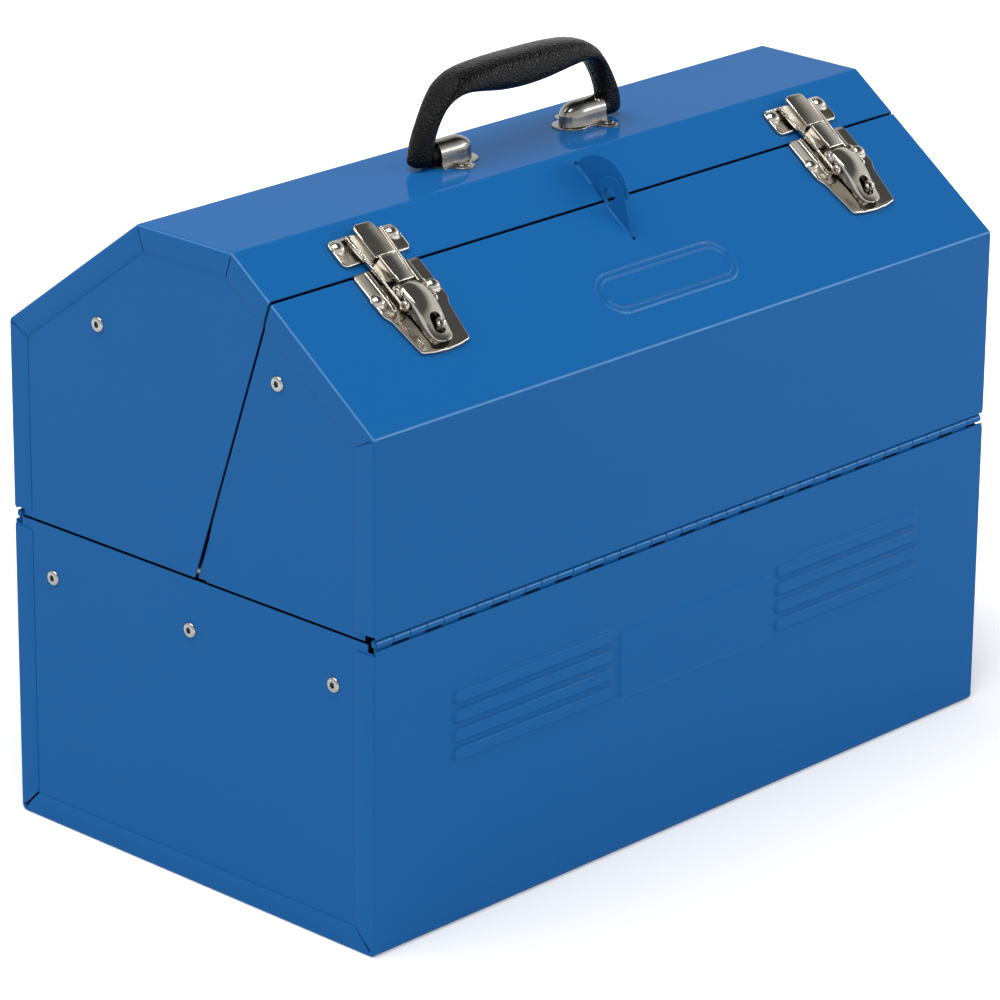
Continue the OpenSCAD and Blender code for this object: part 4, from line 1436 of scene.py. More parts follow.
@dataclass
class Lid(Assembly):
    """What both lids have: end plates, the rivets of their links, and a tab folded up for the padlock."""

    low: float = 165.5
    foot_trim: float = 1.5
    link: Flat = (63.0, 278.0)
    link_foot: Flat = (0.9, 3.2)
    tab_x: float = 2.2
    hole: Flat = (85.0, 5.0)
    hole_radius: float = 4.0
    fillet: float = 1.1
    relief: float = 1.1
    relief_step: float = 0.6
    lance: float = 0.2
    lance_room: float = 4.0
    edge_step: float = 0.1

    def open_slope(self, sheet: Piece, window: Outline, x: float, s: float) -> None:
        """Cuts the hole that the tab left in the slope, and the round relief at its root.

        Args:
            sheet: The lid's sheet.
            window: Outline of the hole, as (x, s).
            x: Where the relief lies along the box.
            s: Where it lies up the slope.
        """
        for outline in (window, circle((x, s), self.relief, 24)):
            cut(sheet, placed(prism("lance", outline, -3, 3, Axis.Z), SLOPE))

    def tab(self, where: str, outline: Outline, x: float, root: Flat) -> None:
        """Extrudes a tab, drills it and fits it with the fillet along its fold.

        Args:
            where: Lid that it stands on.
            outline: Its outline, as (s, n).
            x: Its left face.
            root: Where the fold's fillet starts and ends along the slope.
        """
        name = f"{where}_hasp_tab"
        tab = prism(name + "_plate", outline, x, x + SHEET, Axis.X)
        cut(tab, prism("drill", circle(self.hole, self.hole_radius, 40), x - 1, x + 2, Axis.X))
        soften(tab, 0.2, 2, 50)
        arc = circle((x - self.fillet, self.fillet), self.fillet, 6, 0, -90)
        foot = [(x - self.fillet, -0.1), (x + 0.2, -0.1), (x + 0.2, self.fillet)]
        strip = prism("fold", [*arc, *foot], *root, Axis.Y)
        piece = placed(joined(name + "_folded", [tab, strip]), SLOPE)
        self.fit(piece, f"{where}_lid", Slot.PAINT, name, angle=SHEET_ANGLE)

    def ends(self, where: str) -> None:
        """Fits the end plates and the tubular rivets that carry the links.

        Args:
            where: The lid, front or rear.
        """
        for side in SIDES:
            self.finish_copy(f"{where}_lid_end_{side}", f"{where}_lid", Slot.PAINT, PLATE_SOFT)
        pair = Pivot().pair(-self.link[0], self.link[1], [LINK_X], self.link_foot)
        rivets = joined(f"{where}_lid_pivot_rivets", pair)
        if where == "rear":
            placed(rivets, TO_REAR)
        self.fit(rivets, f"{where}_lid", Slot.ZINC, f"{where}_lid_rivets")


@dataclass
class FrontLid(Lid):
    """Lid that opens forwards, with the plain pressed plate on its slope."""

    plate: tuple[Flat, Flat] = ((-45.5, 21.4), (53.5, 47.6))
    bead: tuple[float, float, float] = (0.75, 0.9, 1.5)
    bead_step: float = 3.3
    head_radius: float = 10.4
    head_end: float = -12.1
    root: float = 61.4

    def flank(self) -> float:
        """Direction, in degrees from the head's middle, where the tab's straight flank meets the head."""
        v = Vector(self.hole) - Vector((self.root, 0.0))
        return math.degrees(math.atan2(v.y, v.x) + math.asin(self.head_radius / v.length)) + 90

    def beads(self, reach: float) -> list[Pressing]:
        """The doubled outline of the plate, measured down from the split.

        Args:
            reach: Length of the slope up to the split.

        Returns:
            The outer and the inner bead.
        """
        (x0, s0), (x1, s1) = self.plate
        half = (s1 - s0) / 2
        return [
            Pressing((x0 + d, reach - s1 + d), (x1 - d, reach - s0 - d), half - d, *self.bead)
            for d in (0.0, self.bead_step)
        ]

    def build(self) -> None:
        """Makes the sheet, the tab, the ends and the rivets."""
        end = split_corner(1.0)
        reach = (Vector(end) - Vector((-WALL_Y, KNEE_Z))).length
        corners = [end, (-WALL_Y, KNEE_Z), (-WALL_Y, self.low)]
        piece = Wrap(
            "front_lid_wrap", corners, (tuple(split_line(1.0)[1]), (1.0, 0.0)), {0: self.beads(reach)},
            trims=(0.0, self.foot_trim),
        ).build()
        head = circle(self.hole, self.head_radius, 30, self.flank(), self.head_end)
        far, past = self.tab_x + SHEET, SPLIT_S + self.lance_room
        rise = self.lance * (self.hole[1] + self.head_radius)
        window = [
            (far, self.root), (far + self.lance * head[0][1], head[0][0]), (far + rise, self.hole[0]),
            (far + rise, past), (far, past),
        ]
        self.open_slope(piece, window, far, self.root - self.relief_step)
        self.fit(piece, "front_lid", Slot.PAINT, "front_lid_shell", angle=SHEET_ANGLE)
        edge = SPLIT_S - SPLIT_HALF_GAP - self.edge_step
        outline = [(self.root, 0.0), *head, (edge, 0.3), (edge, 0.0)]
        self.tab("front", outline, self.tab_x, (self.root + 1, edge - 0.4))
        self.ends("front")


@dataclass
class RearLid(Lid):
    """Lid that opens backwards and carries the handle, with the flat top."""

    centre: float = 91.0
    radius: float = 19.8
    tab_low: float = 76.6
    tab_gap: float = 0.4
    fold_start: float = 97.0
    lance_steps: int = 8
    lip: Flat = (5.0, 2.2)
    lip_top: float = 0.3

    def sheet(self) -> Piece:
        """The wrapped sheet, with the edge that is turned in along the split.

        Returns:
            The joined sheet.
        """
        corners = [(WALL_Y, self.low), (WALL_Y, KNEE_Z), (RIDGE_HALF, RIDGE_Z), (-RIDGE_HALF, RIDGE_Z)]
        wrap = Wrap(
            "rear_lid_wrap", [*corners, split_corner(-1.0)], ((1.0, 0.0), tuple(split_line(-1.0)[1])),
            trims=(self.foot_trim, 0.0),
        )
        edge, inside = SPLIT_S + SPLIT_HALF_GAP, FLANGE_X - self.lip[1]
        section = [(0, self.lip_top), (SHEET, self.lip_top), (SHEET, self.lip[0]), (0, self.lip[0])]
        turned_in = [on_slope(edge + a, -depth) for a, depth in section]
        return joined("rear_lid_sheet", [wrap.build(), prism("lip", turned_in, -inside, inside, Axis.X)])

    def build(self) -> None:
        """Makes the sheet, the tab, the ends and the rivets."""
        piece = self.sheet()
        x = self.tab_x + SHEET + self.tab_gap
        far, top = x + SHEET, self.centre + self.radius
        window = [(far, SPLIT_S - self.lance_room)]
        for i in range(self.lance_steps + 1):
            s = SPLIT_S + (top - SPLIT_S) * i / self.lance_steps
            rise = math.sqrt(max(self.radius**2 - (s - self.centre) ** 2, 0.0))
            window.append((far + self.lance * rise, s))
        self.open_slope(piece, window, far, top + self.relief_step)
        self.fit(piece, "rear_lid", Slot.PAINT, "rear_lid_shell", angle=SHEET_ANGLE)
        edge = SPLIT_S + SPLIT_HALF_GAP + self.edge_step
        first = math.degrees(math.acos((self.tab_low - self.centre) / self.radius))
        arc = circle((self.centre, 0.0), self.radius, 30, first, 0)
        outline = [(self.tab_low, 0.3), *arc, (edge, 0.0), (edge, 0.3)]
        self.tab("rear", outline, x, (self.fold_start, top - 0.5))
        self.ends("rear")


@dataclass
class Latch(Assembly):
    """Over-centre latch, modelled flat on the slope: its plate, lever, claw and strike."""

    side: str
    plate_low: float = 0.05
    plate_top: float = 2.2
    plate_half: tuple[Flat, ...] = (
        (22.3, SPLIT_S + 0.3), (22.3, 60.0), (19.8, 56.4), (16.5, 34.7), (9.0, 33.2), (0.0, 32.6),
    )
    plate_radii: tuple[float, ...] = (3, 6, 6, 2.5, 0, 0)
    skirt: float = 0.8
    plate_rim: float = 0.7
    sunk: float = 0.3
    ridge: tuple[Flat, ...] = ((11.7, 60.5), (14.9, 60.5), (15.2, SPLIT_S), (11.7, SPLIT_S))
    ridge_rise: Flat = (1.5, 2.85)
    ear: tuple[float, float, float] = (64.6, 74.5, 1.4)
    ear_x: Flat = (8.1, 9.1)
    strike_ears: tuple[Flat, Flat] = ((-23.0, 91.4), (23.0, 108.0))
    strike_rim: float = 0.6
    hump: tuple[Flat, ...] = ((93.4, 1.4), (107.8, 1.4), (107.8, 5.2), (93.4, 5.2))
    lever_pivot: Flat = (68.2, 5.8)
    claw_pivot: Flat = (60.2, 5.3)
    pin: float = 1.6
    hood: tuple[Flat, Flat] = ((-6.85, 89.4), (6.85, 110.0))
    hood_rise: Flat = (3.0, 7.1)
    hood_wall: float = 1.2
    step: tuple[Flat, ...] = (
        (72.3, 5.9), (72.3, 8.2), (76.4, 8.4), (76.8, 8.0), (88.5, 7.9), (88.5, 3.0), (77.0, 3.0),
        (76.4, 5.9),
    )
    web: tuple[Flat, ...] = ((4.3, 76.4), (10.6, 76.4), (12.6, 106.4), (5.9, 106.4), (5.9, 89.4), (4.3, 89.4))
    web_rise: Flat = (3.0, 3.9)
    rail: float = 10.3
    rail_eye: float = 2.7
    rail_top: float = 4.9
    rail_low: float = 2.85
    rail_bend: float = 76.4
    rail_spread: float = 0.077
    rail_near: tuple[float, ...] = (0.0, 0.9, 1.7, 2.3, 3.0, 4.2, 6.5, 10.0)
    rail_pitch: float = 3.75
    slot: tuple[Flat, Flat] = ((-3.5, 40.2), (3.5, 51.0))
    back: tuple[Flat, ...] = (
        (36.0, 5.0), (37.0, 4.9), (39.5, 4.95), (43.0, 5.8), (48.0, 7.6), (54.0, 9.3), (60.0, 10.0),
        (66.0, 9.6), (70.4, 8.4), (71.8, 6.9),
    )
    half: tuple[Flat, ...] = (
        (36.0, 1.2), (36.25, 2.6), (36.8, 4.0), (37.6, 5.1), (38.6, 5.8), (40.2, 6.35), (43.0, 6.95),
        (48.0, 7.5), (53.0, 7.85), (65.0, 7.9), (68.0, 7.5), (70.5, 6.3), (71.8, 5.5),
    )
    under: tuple[Flat, ...] = (
        (36.0, 3.9), (38.5, 3.6), (41.0, 3.0), (50.0, 2.6), (54.0, 2.8), (56.0, 3.3), (57.6, 2.9),
        (60.2, 2.5), (62.8, 3.1), (64.2, 4.1), (65.6, 3.2), (68.2, 2.6), (70.4, 3.2), (71.8, 5.1),
    )
    lever_nose: tuple[float, ...] = (36.0, 36.12, 36.25, 36.5, 36.8, 37.2, 37.6, 38.1, 38.6, 39.2, 40.0)
    lever_pitch: float = 0.75
    lever_tail: tuple[float, ...] = (70.0, 70.5, 71.0, 71.3, 71.55, 71.7, 71.8)
    lever_wall: float = 1.0
    round_off: float = 2.3
    crown: float = 0.9

    def mirrored(self, half: Sequence[Flat], radii: Sequence[float]) -> Outline:
        """Outline of a half outline, as (x, s), and its mirror image, with rounded corners."""
        other = [(-x, s) for x, s in half[-2::-1]]
        return rounded([*half, *other], [*radii, *radii[-2::-1]])

    def skirted(self, name: str, outline: Outline, rim: float) -> Piece:
        """Plate with a rounded edge and a face that is sunk inside it.

        Args:
            name: Name of the new piece.
            outline: Its outline, as (x, s).
            rim: Width of the rim round the sunk face.

        Returns:
            The piece.
        """
        plate = prism(name, outline, self.plate_low, self.plate_top, Axis.Z)
        round_rim(plate, self.plate_top, self.skirt, 4)
        return shape(
            plate, "FACE", lambda middle, way: way.z > 0.99, lambda: bpy.ops.mesh.inset(thickness=rim * MM),
            lambda: bpy.ops.transform.translate(value=(0, 0, -self.sunk * MM)),
        )

    def pin_head(self, name: str, radius: float, x: float, at: Flat) -> Piece:
        """Rolled head of a pin, on the outside of an ear or a rail.

        Args:
            name: Name of the new piece.
            radius: Its radius.
            x: X of its flat side, which is negative on the left.
            at: Its (s, n).

        Returns:
            The piece.
        """
        head = turned(name, [*eyelet(radius, 0.7, 0.0), (0.0, 0.0)], 28)
        return placed(head, shift(x, *at), Matrix.Rotation(math.copysign(math.pi / 2, x), 4, "Y"))

    def plate(self) -> list[Piece]:
        """Base plate with its skirted edge, the ridges beside the rails, and the two pivot ears.

        Returns:
            The pieces.
        """
        pieces = [self.skirted("plate", self.mirrored(self.plate_half, self.plate_radii), self.plate_rim)]
        low, high, foot = self.ear
        ear = [(low, foot), *circle(self.lever_pivot, 3.4, 20, 190, -25), (high, foot)]
        for sign in SIDES.values():
            plan = rounded([(sign * x, s) for x, s in self.ridge], [1.4] * 4)
            bar = prism("ridge", plan, *self.ridge_rise, Axis.Z)
            pieces.append(round_rim(bar, self.ridge_rise[1], 0.7, 4))
            span = sorted(sign * x for x in self.ear_x)
            pieces.append(soften(prism("ear", ear, *span, Axis.X), 0.3, 3, 50))
            pieces.append(self.pin_head("pivot_head", 2.3, sign * self.ear_x[1], self.lever_pivot))
        return pieces

    def strike(self) -> list[Piece]:
        """Strike with its two skirted ears, and the hump that the hood hooks over.

        Returns:
            The pieces.
        """
        body = self.skirted("strike", box_outline(*self.strike_ears, 3.4), self.strike_rim)
        hump = prism("hump", rounded(list(self.hump), [0, 0, 1.6, 2.5]), -5, 5, Axis.X)
        return [body, soften(hump, 0.4, 3)]

    def lever_rows(self, depth: float) -> list[list[Vector]]:
        """Rows of points over the lever's crowned back and down its sides.

        Args:
            depth: How far the points are moved inwards.

        Returns:
            The rows, from the nose to the tail.
        """
        steps = round((self.lever_tail[0] - self.lever_nose[-1]) / self.lever_pitch)
        between = [self.lever_nose[-1] + self.lever_pitch * k for k in range(1, steps)]
        rows = []
        for s in [*self.lever_nose, *between, *self.lever_tail]:
            back, under, wide = (smooth_value(curve, s) for curve in (self.back, self.under, self.half))
            tall = back - under
            inset = min(depth, 0.45 * wide, 0.45 * tall)
            round_off = min(self.round_off, 0.5 * tall, 0.7 * wide)
            crown = min(self.crown, 0.2 * tall)
            flat = wide - round_off
            start = math.pi / 2 - math.atan(2 * crown / max(flat, 1.0))
            middle = back - crown - round_off * math.sin(start)
            reach = flat + round_off * math.cos(start)
            half = [(reach * k / 8, back - inset - crown * (k / 8) ** 2) for k in range(9)]
            arc, bend = [start * (1 - k / 7) for k in range(1, 8)], round_off - inset
            half += [(flat + bend * math.cos(a), middle + bend * math.sin(a)) for a in arc]
            half += [(wide - inset, middle + (under - middle) * k / 3) for k in range(1, 4)]
            if inset > 0:
                half = [(min(x, wide - inset), n) for x, n in half]
            rows.append([Vector((x, s, n)) * MM for x, n in [(-x, n) for x, n in reversed(half[1:])] + half])
        return rows

    def lever(self) -> Piece:
        """Pressed lever with its slot."""
        piece = shell_between("lever", self.lever_rows(0.0), self.lever_rows(self.lever_wall))
        return cut(piece, prism("slot", box_outline(*self.slot, 3.0, 8), 0, 20, Axis.Z))

    def rail_piece(self, sign: float) -> Piece:
        """Upright edge of the claw, from its eyelet to the top of the hood.

        Args:
            sign: -1 on the left and 1 on the right.

        Returns:
            The piece.
        """
        (s0, n0), eye = self.claw_pivot, self.rail_eye
        places = [s0 - eye * math.cos(math.radians(a)) for a in (12, 30, 50, 70)]
        places += [s0 + k for k in self.rail_near]
        places += [self.rail_bend + self.rail_pitch * k for k in range(9)]
        rings = []
        for s in places:
            lift = math.sqrt(max(eye**2 - (s - s0) ** 2, 0.0))
            top = max(n0 + lift if s < s0 + 2.6 else 0.0, self.rail_top if s > s0 + 1.2 else 0.0)
            low = n0 - lift if s < s0 + 2.0 else self.rail_low
            out = self.rail + max(s - self.rail_bend, 0.0) * self.rail_spread
            ring = [(out - 1, low), (out, low), *circle((out - 0.4, top - 0.4), 0.4, 5, 0, 90),
                    *circle((out - 0.6, top - 0.4), 0.4, 5, 90, 180)]
            rings.append([Vector((sign * x, s, n)) * MM for x, n in ring])
        return loft("rail", rings)

    def claw(self) -> list[Piece]:
        """Hood over the strike, the lower step, the side webs and the two rails with their eyelets.

        Returns:
            The pieces.
        """
        (x0, low), (x1, high) = self.hood
        plan = rounded([(x0, low), (x1, low), (x1, high), (x0, high)], [0, 0, 3.6, 3.6], 8)
        top = self.hood_rise[1]
        hood = round_rim(prism("hood", plan, *self.hood_rise, Axis.Z), top, 0.9, 4)
        shape(
            hood, "FACE", lambda middle, way: way.z < -0.9 or (way.y < -0.9 and middle.z < top - 0.1),
            delete_faces,
        )
        step = soften(prism("step", self.step, -5.3, 5.3, Axis.X), 0.55, 4, 50)
        pieces = [thicken(hood, self.hood_wall), step]
        for sign in SIDES.values():
            pieces.append(prism("web", [(sign * x, s) for x, s in self.web], *self.web_rise, Axis.Z))
            pieces.append(self.rail_piece(sign))
            pieces.append(self.pin_head("eye", 2.5, sign * self.rail, self.claw_pivot))
        return pieces

    def claw_pin(self) -> Piece:
        """Pin through both rails that the claw turns on."""
        return soften(prism("pin", circle(self.claw_pivot, self.pin, 24), -self.rail, self.rail, Axis.X), 0.2)

    def fit_flat(self, pieces: Sequence[Piece], node: str, body: str) -> None:
        """Joins pieces that are modelled flat, puts them on the slope and dresses them."""
        piece = placed(joined(node + "_pressed", pieces), SLOPE, shift(LATCH_X[self.side]))
        self.fit(piece, body, Slot.NICKEL, node, angle=35)

    def build(self) -> None:
        """Makes the latch's pieces."""
        lever, claw = f"latch_lever_{self.side}", f"latch_claw_{self.side}"
        self.fit_flat(self.plate(), f"latch_base_{self.side}", "front_lid")
        self.fit_flat(self.strike(), f"strike_{self.side}", "rear_lid")
        self.fit_flat([self.lever()], lever, lever)
        self.fit_flat([self.claw_pin()], f"claw_pin_{self.side}", lever)
        self.fit_flat(self.claw(), claw, claw)


@dataclass
class LatchFixings(Assembly):
    """What both latches share: their rivets, staples and pivot pins."""

    head: Flat = (4.1, 2.3)
    collar: float = 4.5
    seat: float = 2.15
    seat_edge: float = 0.25
    shank: tuple[tuple[float, float, float], ...] = ((-1.0, 1.6, 1.9), (-1.8, -1.0, 3.0))
    base_rivets: Flat = (18.6, 68.5)
    strike_rivets: Flat = (18.5, 102.8)
    loop: Flat = (44.2, 8.2)
    loop_radius: float = 2.8
    loop_foot: float = 1.5

    def rivets(self, name: str, x: float, s: float) -> Piece:
        """Four round-headed rivets through the slope, two to a latch, each on a low round seat.

        Args:
            name: Name of the new piece.
            x: How far each stands from the middle of its latch.
            s: Its place up the slope.

        Returns:
            The joined rivets.
        """
        edge = self.seat - self.seat_edge
        head = dome(*self.head, self.seat, 10)
        profile = [*head, (self.collar - self.seat_edge, self.seat), (self.collar, edge)]
        one = rivet("rivet", profile, [(self.shank[0][1], edge, self.collar), *self.shank])
        spots = [(at + sign * x, s) for at in LATCH_X.values() for sign in SIDES.values()]
        return scattered(name, one, [[SLOPE, shift(*spot)] for spot in spots])

    def staple(self) -> Piece:
        """Flat loop that stands up through the lever's slot.

        Returns:
            The piece.
        """
        s, foot = self.loop[0], self.loop_foot
        ring = [(s - 2.4, foot), *circle(self.loop, self.loop_radius, 24, 211, -31), (s + 2.4, foot)]
        loop = prism("staple", ring, -0.9, 0.9, Axis.X)
        cut(loop, prism("eye", circle(self.loop, self.loop_radius / 2, 20), -2, 2, Axis.X))
        return soften(loop, 0.35, 3, 50)

    def build(self) -> None:
        """Makes the rivets, the staples and the pins."""
        for name, spot, body in (("latch_base_rivets", self.base_rivets, "front_lid"),
                                 ("strike_rivets", self.strike_rivets, "rear_lid")):
            self.fit(self.rivets(name + "_domed", *spot), body, Slot.NICKEL, name)
        loops = scattered("latch_staple_loops", self.staple(), [[SLOPE, shift(x)] for x in LATCH_X.values()])
        self.fit(loops, "front_lid", Slot.NICKEL, "latch_staples")
        self.finish_copy("latch_pivot_pins", "front_lid", Slot.NICKEL, 0.2)


@dataclass
class Grip(Assembly):
    """Moulded handle with a soft pebbled skin, and the two domed brackets that hold its trunnions."""

    stations: tuple[tuple[float, ...], ...] = (
        (73.5, 337.9, 64.2, 337.9, 3.7), (76.0, 340.4, 61.4, 340.4, 5.2), (75, 346.8, 61.2, 349.6, 5.6),
        (72.4, 352.6, 59.8, 356, 6.2), (69, 358.2, 57.2, 362, 6.8), (64.6, 364.4, 53.8, 367.4, 7.8),
        (59.3, 370.8, 48.7, 370.7, 9.2), (53.6, 377.2, 40.6, 371, 10.2), (43.3, 382.4, 29.4, 369.2, 10.6),
        (24.9, 384.6, 15.3, 367, 10.8), (0, 385.0, 0, 366.2, 11),
    )
    sides: int = 40
    steps: int = 6
    squareness: float = 0.75
    axis_z: float = 342.0
    trunnion: float = 5.7
    trunnion_x: Flat = (47.0, 65.0)
    barrel: float = 7.1
    barrel_wall: float = 1.3
    foot: float = 0.8
    foot_z: float = RIDGE_Z + 0.5
    mouth_x: float = 60.5
    dome_x: float = 46.5
    dome_stretch: float = 1.7
    dimple: Flat = (1.7, 0.7)
    lugs: tuple[Flat, Flat] = ((57.0, -11.0), (50.0, 11.0))
    lug_radius: float = 8.0
    flange_x: tuple[float, float, float] = (41.0, 43.0, 63.0)
    flange_radii: Flat = (9.7, 8.8)
    flange_z: Flat = (RIDGE_Z + 0.02, RIDGE_Z + 1.0)
    outline_middle: float = 50.5
    outline_steps: int = 96
    eyelet_head: Flat = (3.5, 0.9)
    shank: tuple[tuple[float, float, float], ...] = (
        (RIDGE_Z - 0.8, RIDGE_Z + 1.0, 1.9), (RIDGE_Z - 1.6, RIDGE_Z - 0.8, 3.0),
    )

    def smooth(self) -> list[list[float]]:
        """Smooth curve along the handle, from foot to foot.

        Returns:
            Outer x and z, inner x and z, and half depth at each station.
        """
        known = [*self.stations, *((-a, b, -c, d, e) for a, b, c, d, e in self.stations[-2::-1])]
        last = len(known) - 1
        made = []
        for i in range(last):
            group = [known[min(max(i + k, 0), last)] for k in (-1, 0, 1, 2)]
            for k in range(self.steps):
                t = k / self.steps
                made.append([
                    (
                        2 * b + (c - a) * t + (2 * a - 5 * b + 4 * c - d) * t * t
                        + (3 * b - a - 3 * c + d) * t**3
                    ) / 2
                    for a, b, c, d in zip(*group)
                ])
        return made + [list(known[-1])]

    def ring(self, station: Sequence[float]) -> list[Vector]:
        """Closed ring of points round the handle.

        Args:
            station: Outer x and z, inner x and z, and half depth.

        Returns:
            The points, in metres.
        """
        a, b, c, d, depth = station
        points = []
        for k in range(self.sides):
            angle = 2 * math.pi * k / self.sides
            u, v = (math.copysign(abs(w) ** self.squareness, w) for w in (math.cos(angle), math.sin(angle)))
            spot = ((a + c) / 2 + u * (a - c) / 2, v * depth, (b + d) / 2 + u * (b - d) / 2)
            points.append(Vector(spot) * MM)
        return points

    def handle(self) -> Piece:
        """The moulded arch with its two trunnions.

        Returns:
            The joined piece.
        """
        pieces = [loft("arch", [self.ring(station) for station in self.smooth()])]
        round_pin = circle((0.0, self.axis_z), self.trunnion, 40)
        for sign in (1, -1):
            span = sorted(sign * x for x in self.trunnion_x)
            pieces.append(soften(prism("trunnion", round_pin, *span, Axis.X), 0.5, 3))
        return joined("moulded_handle", pieces)

    def flange_outline(self) -> Outline:
        """Outline of a bracket's flange: the farthest point of its round parts in each direction.

        Returns:
            The outline, as (x, y).
        """
        middle = Vector((self.outline_middle, 0.0))
        tail, first, last = self.flange_x
        parts = [(Vector((tail, 0.0)), self.flange_radii[0])]
        parts += [(Vector((x, 0.0)), self.flange_radii[1]) for x in range(int(first), int(last) + 1, 2)]
        for lug in self.lugs:
            tip, foot = Vector(lug), Vector((lug[0] - 1.5, 0.0))
            parts += [(foot.lerp(tip, k / 10), self.lug_radius - 0.18 * k) for k in range(11)]
        outline = []
        for k in range(self.outline_steps):
            angle = 2 * math.pi * k / self.outline_steps
            way = Vector((math.cos(angle), math.sin(angle)))
            reach = 0.0
            for centre, radius in parts:
                m = centre - middle
                room = m.dot(way) ** 2 - m.length_squared + radius**2
                if room > 0:
                    reach = max(reach, m.dot(way) + math.sqrt(room))
            if way.x > 0:
                reach = min(reach, (self.mouth_x + 0.2 - middle.x) / way.x)
            outline.append(tuple(middle + way * reach))
        return outline

    def barrel_rows(self, depth: float) -> list[list[Vector]]:
        """Rows of points over a bracket's barrel and the dome at its end.

        Args:
            depth: How far the points are moved inwards.

        Returns:
            The rows, from the dome to the mouth.
        """
        radius = self.barrel - depth
        stations = []
        for k in range(13):
            a = math.pi / 2 * (1 - k / 12)
            x = self.dome_x - radius * self.dome_stretch * math.sin(a)
            stations.append((x, max(radius * math.cos(a), 0.02)))
        stations += [(self.dome_x + (self.mouth_x - self.dome_x) * k / 8, radius) for k in range(1, 9)]
        rows = []
        for x, reach in stations:
            side = [
                (reach + self.foot * (1 - k / 4) ** 2.5, self.foot_z + (self.axis_z - self.foot_z) * k / 4)
                for k in range(4)
            ]
            top = circle((0.0, self.axis_z), reach, 24, 0, 180)
            points = side + top + [(-y, z) for y, z in reversed(side)]
            rows.append([Vector((x, y, z)) * MM for y, z in points])
        return rows

    def bracket(self) -> Piece:
        """Bracket at the right end of the handle: a flange with two lugs and the domed barrel on it.

        Returns:
            The joined piece.
        """
        flange = prism("flange", self.flange_outline(), *self.flange_z, Axis.Z)
        round_rim(flange, self.flange_z[1], 0.35, 3)
        barrel = shell_between("barrel", self.barrel_rows(0.0), self.barrel_rows(self.barrel_wall))
        dimple = placed(turned("dimple", [*dome(*self.dimple, 0.0, 6), (0.0, -0.5)], 20),
                        shift(self.mouth_x - 3.6, -self.barrel * 0.5, self.axis_z + self.barrel * 0.85),
                        Matrix.Rotation(math.radians(30), 4, "X"))
        return joined("handle_bracket_right_pressed", [flange, barrel, dimple])

    def rivets(self) -> Piece:
        """The four tubular rivets of the brackets.

        Returns:
            The joined rivets.
        """
        one = rivet("rivet", eyelet(*self.eyelet_head, self.flange_z[1]), self.shank)
        spots = [[turn, shift(*lug)] for turn in (Matrix.Identity(4), HALF_TURN) for lug in self.lugs]
        return scattered("handle_bracket_eyelets", one, spots)

    def build(self) -> None:
        """Makes the handle and its brackets."""
        self.fit(self.handle(), "handle", Slot.GRIP, "handle", angle=50)
        right = self.bracket()
        left = twin(right, "handle_bracket_left_pressed", HALF_TURN)
        self.fit(right, "rear_lid", Slot.SATIN, "handle_bracket_right", angle=SHEET_ANGLE)
        self.fit(left, "rear_lid", Slot.SATIN, "handle_bracket_left", angle=SHEET_ANGLE)
        self.fit(self.rivets(), "rear_lid", Slot.SATIN, "handle_bracket_rivets")


@dataclass
class TrayBank(Assembly):
    """Two trays on cantilever arms with the links to their lid."""

    where: str

    def build(self) -> None:
        """Makes the arms, the links, the trays and their pins."""
        for name in ("outer_arms", "inner_arms", "lid_links"):
            self.finish_copy(f"{self.where}_{name}", f"{self.where}_{name}", Slot.ZINC, 0.3)
        for level in ("lower", "upper"):
            body = f"{self.where}_{level}_tray"
            self.finish_copy(body, body, Slot.PAINT, 0.25)
            self.finish_copy(body + "_pins", body, Slot.ZINC, 0.3)


@dataclass(frozen=True)
class Lamp:
    """Soft rectangular lamp that faces the box: its place and size in metres, and its power in watts."""

    name: str
    place: tuple[float, float, float]
    size: Flat
    power: float
    target: tuple[float, float, float] = (0.0, 0.0, 0.2)

    def build(self) -> None:
        """Makes the lamp."""
        bpy.ops.object.light_add(type="AREA", location=self.place)
        lamp = named(self.name)
        lamp.data.shape = "RECTANGLE"
        lamp.data.size, lamp.data.size_y = self.size
        lamp.data.energy = self.power
        lamp.rotation_euler = (Vector(self.target) - Vector(self.place)).to_track_quat("-Z", "Y").to_euler()


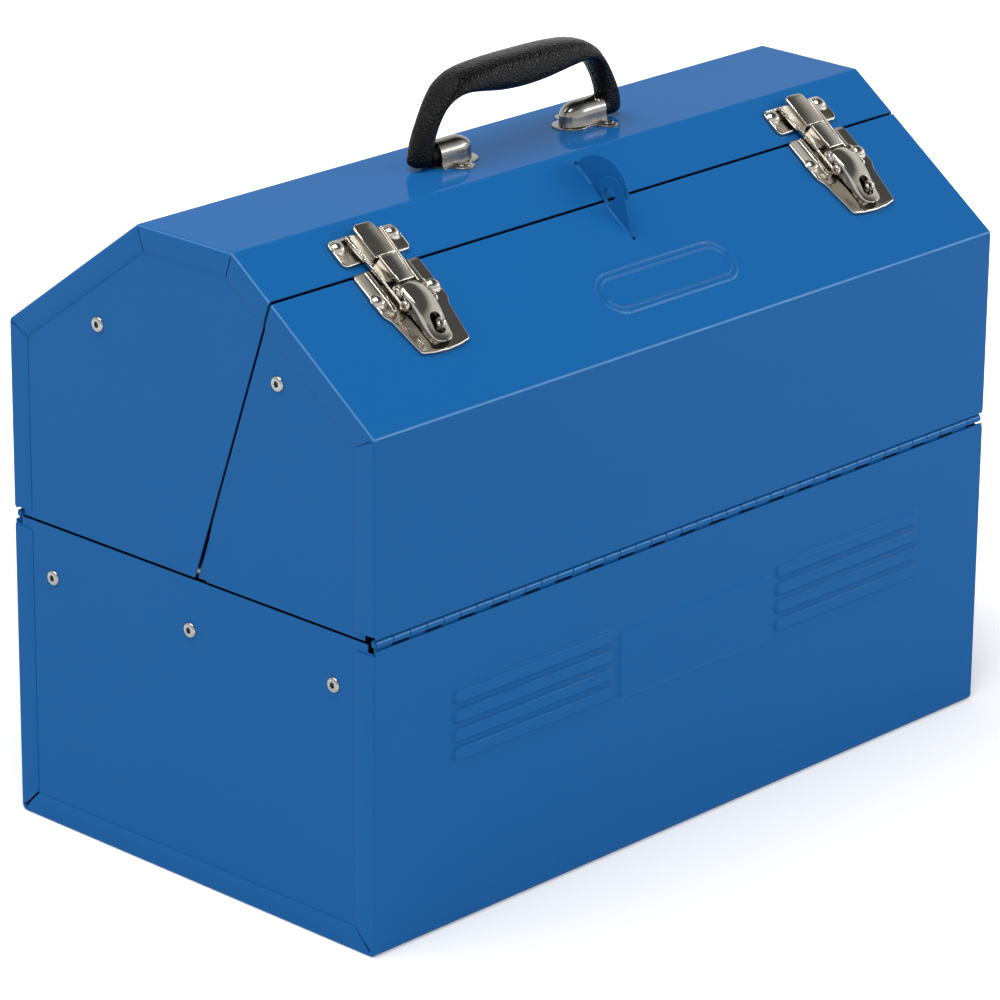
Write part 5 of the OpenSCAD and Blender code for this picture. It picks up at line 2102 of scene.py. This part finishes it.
@dataclass
class Studio:
    """Pale floor, soft lamps, plain light and the camera."""

    place: tuple[float, float, float] = (-1.826212, -1.718096, 1.074443)
    right: tuple[float, float, float] = (0.68922476, -0.72450058, 0.00825496)
    down: tuple[float, float, float] = (-0.24710622, -0.24575433, -0.93730642)
    forward: tuple[float, float, float] = (0.68110774, 0.64397494, -0.34840857)
    lens: float = 185.268
    sensor: float = 36.0
    far: float = 60.0
    floor: float = 12.0
    paper: float = 0.9
    glow_reach: Flat = (0.28, 1.0)
    glow_least: float = 0.25
    room_band: Flat = (0.54, 0.72)
    ceiling: float = 0.12
    lamps: tuple[Lamp, ...] = (
        Lamp("key", (-0.7, 0.3, 2.3), (1.7, 1.7), 33.0), Lamp("spark", (-0.63, -0.6, 2.2), (0.3, 0.3), 9.0),
        Lamp("strip", (1.68, -1.3, 1.0), (1.4, 0.12), 12.0),
    )

    def camera(self) -> None:
        """Camera at the photograph's angle."""
        bpy.ops.object.camera_add()
        camera = named("camera")
        axes = Matrix((self.right, [-v for v in self.down], [-v for v in self.forward])).transposed()
        camera.matrix_world = Matrix.Translation(self.place) @ axes.to_4x4()
        camera.data.lens, camera.data.sensor_width, camera.data.clip_end = self.lens, self.sensor, self.far
        bpy.context.scene.camera = camera

    def ground(self) -> None:
        """Plain pale floor that keeps the box's shadow, and shows white farther off."""
        bpy.ops.mesh.primitive_plane_add(size=self.floor)
        ground = named("floor")
        paper = bpy.data.materials.new("floor_paper")
        paper.use_nodes = True
        pen = Pen(paper.node_tree)
        shader = paper.node_tree.nodes["Principled BSDF"]
        shader.inputs["Base Color"].default_value = (self.paper, self.paper, self.paper, 1.0)
        shader.inputs["Roughness"].default_value = 0.9
        shader.inputs["Specular IOR Level"].default_value = 0.0
        away = pen.node("VectorMath", "LENGTH", i0=pen.where()).outputs["Value"]
        share = pen.ramp(away, *self.glow_reach, self.glow_least, 1.0)
        glow = pen.node("Emission", Strength=pen.math("MULTIPLY", share, self.seen(pen)))
        both = pen.node("AddShader", i0=shader.outputs[0], i1=glow.outputs[0])
        pen.link(both.outputs[0], paper.node_tree.nodes["Material Output"].inputs["Surface"])
        ground.data.materials.append(paper)

    def seen(self, pen: Pen) -> Socket:
        """1 for rays from the camera, from what shines and through glass, or else 0.

        Args:
            pen: Draws in the floor's material.

        Returns:
            The value.
        """
        rays = pen.node("LightPath")
        shiny = pen.math("MAXIMUM", rays.outputs["Is Glossy Ray"], rays.outputs["Is Transmission Ray"])
        return pen.math("MAXIMUM", rays.outputs["Is Camera Ray"], shiny)

    def world(self) -> None:
        """White background, and a plain room that is bright near the floor and darker overhead."""
        world = bpy.data.worlds.new("studio")
        bpy.context.scene.world = world
        world.use_nodes = True
        pen = Pen(world.node_tree)
        height = pen.node("SeparateXYZ", Vector=pen.node("TexCoord").outputs["Generated"]).outputs["Z"]
        room = pen.ramp(height, *self.room_band, 1.0, self.ceiling)
        camera = pen.node("LightPath").outputs["Is Camera Ray"]
        sky = world.node_tree.nodes["Background"]
        sky.inputs["Color"].default_value = (1.0, 1.0, 1.0, 1.0)
        pen.link(pen.math("MAXIMUM", camera, room), sky.inputs["Strength"])

    def build(self) -> None:
        """Makes the studio."""
        self.camera()
        self.ground()
        self.world()
        for lamp in self.lamps:
            lamp.build()
        bpy.context.scene.view_settings.view_transform = "Standard"


def main() -> None:
    """Builds the studio and the sub-assemblies."""
    logging.basicConfig(level=logging.INFO, format="%(name)s: %(message)s")
    Studio().build()
    effects = {name: effect(name, inputs, draw) for name, (inputs, draw) in EFFECTS.items()}
    looks = {finish.slot: finish.material(effects) for finish in (PAINT, NICKEL, SATIN, ZINC, GRIP)}
    assemblies = [
        BaseCase(looks), PianoHinge(looks, False), PianoHinge(looks, True), FrontLid(looks), RearLid(looks),
        Latch(looks, "left"), Latch(looks, "right"), LatchFixings(looks), Grip(looks),
        TrayBank(looks, "front"), TrayBank(looks, "rear"),
    ]
    for assembly in assemblies:
        assembly.build()


if __name__ == "__main__":
    main()
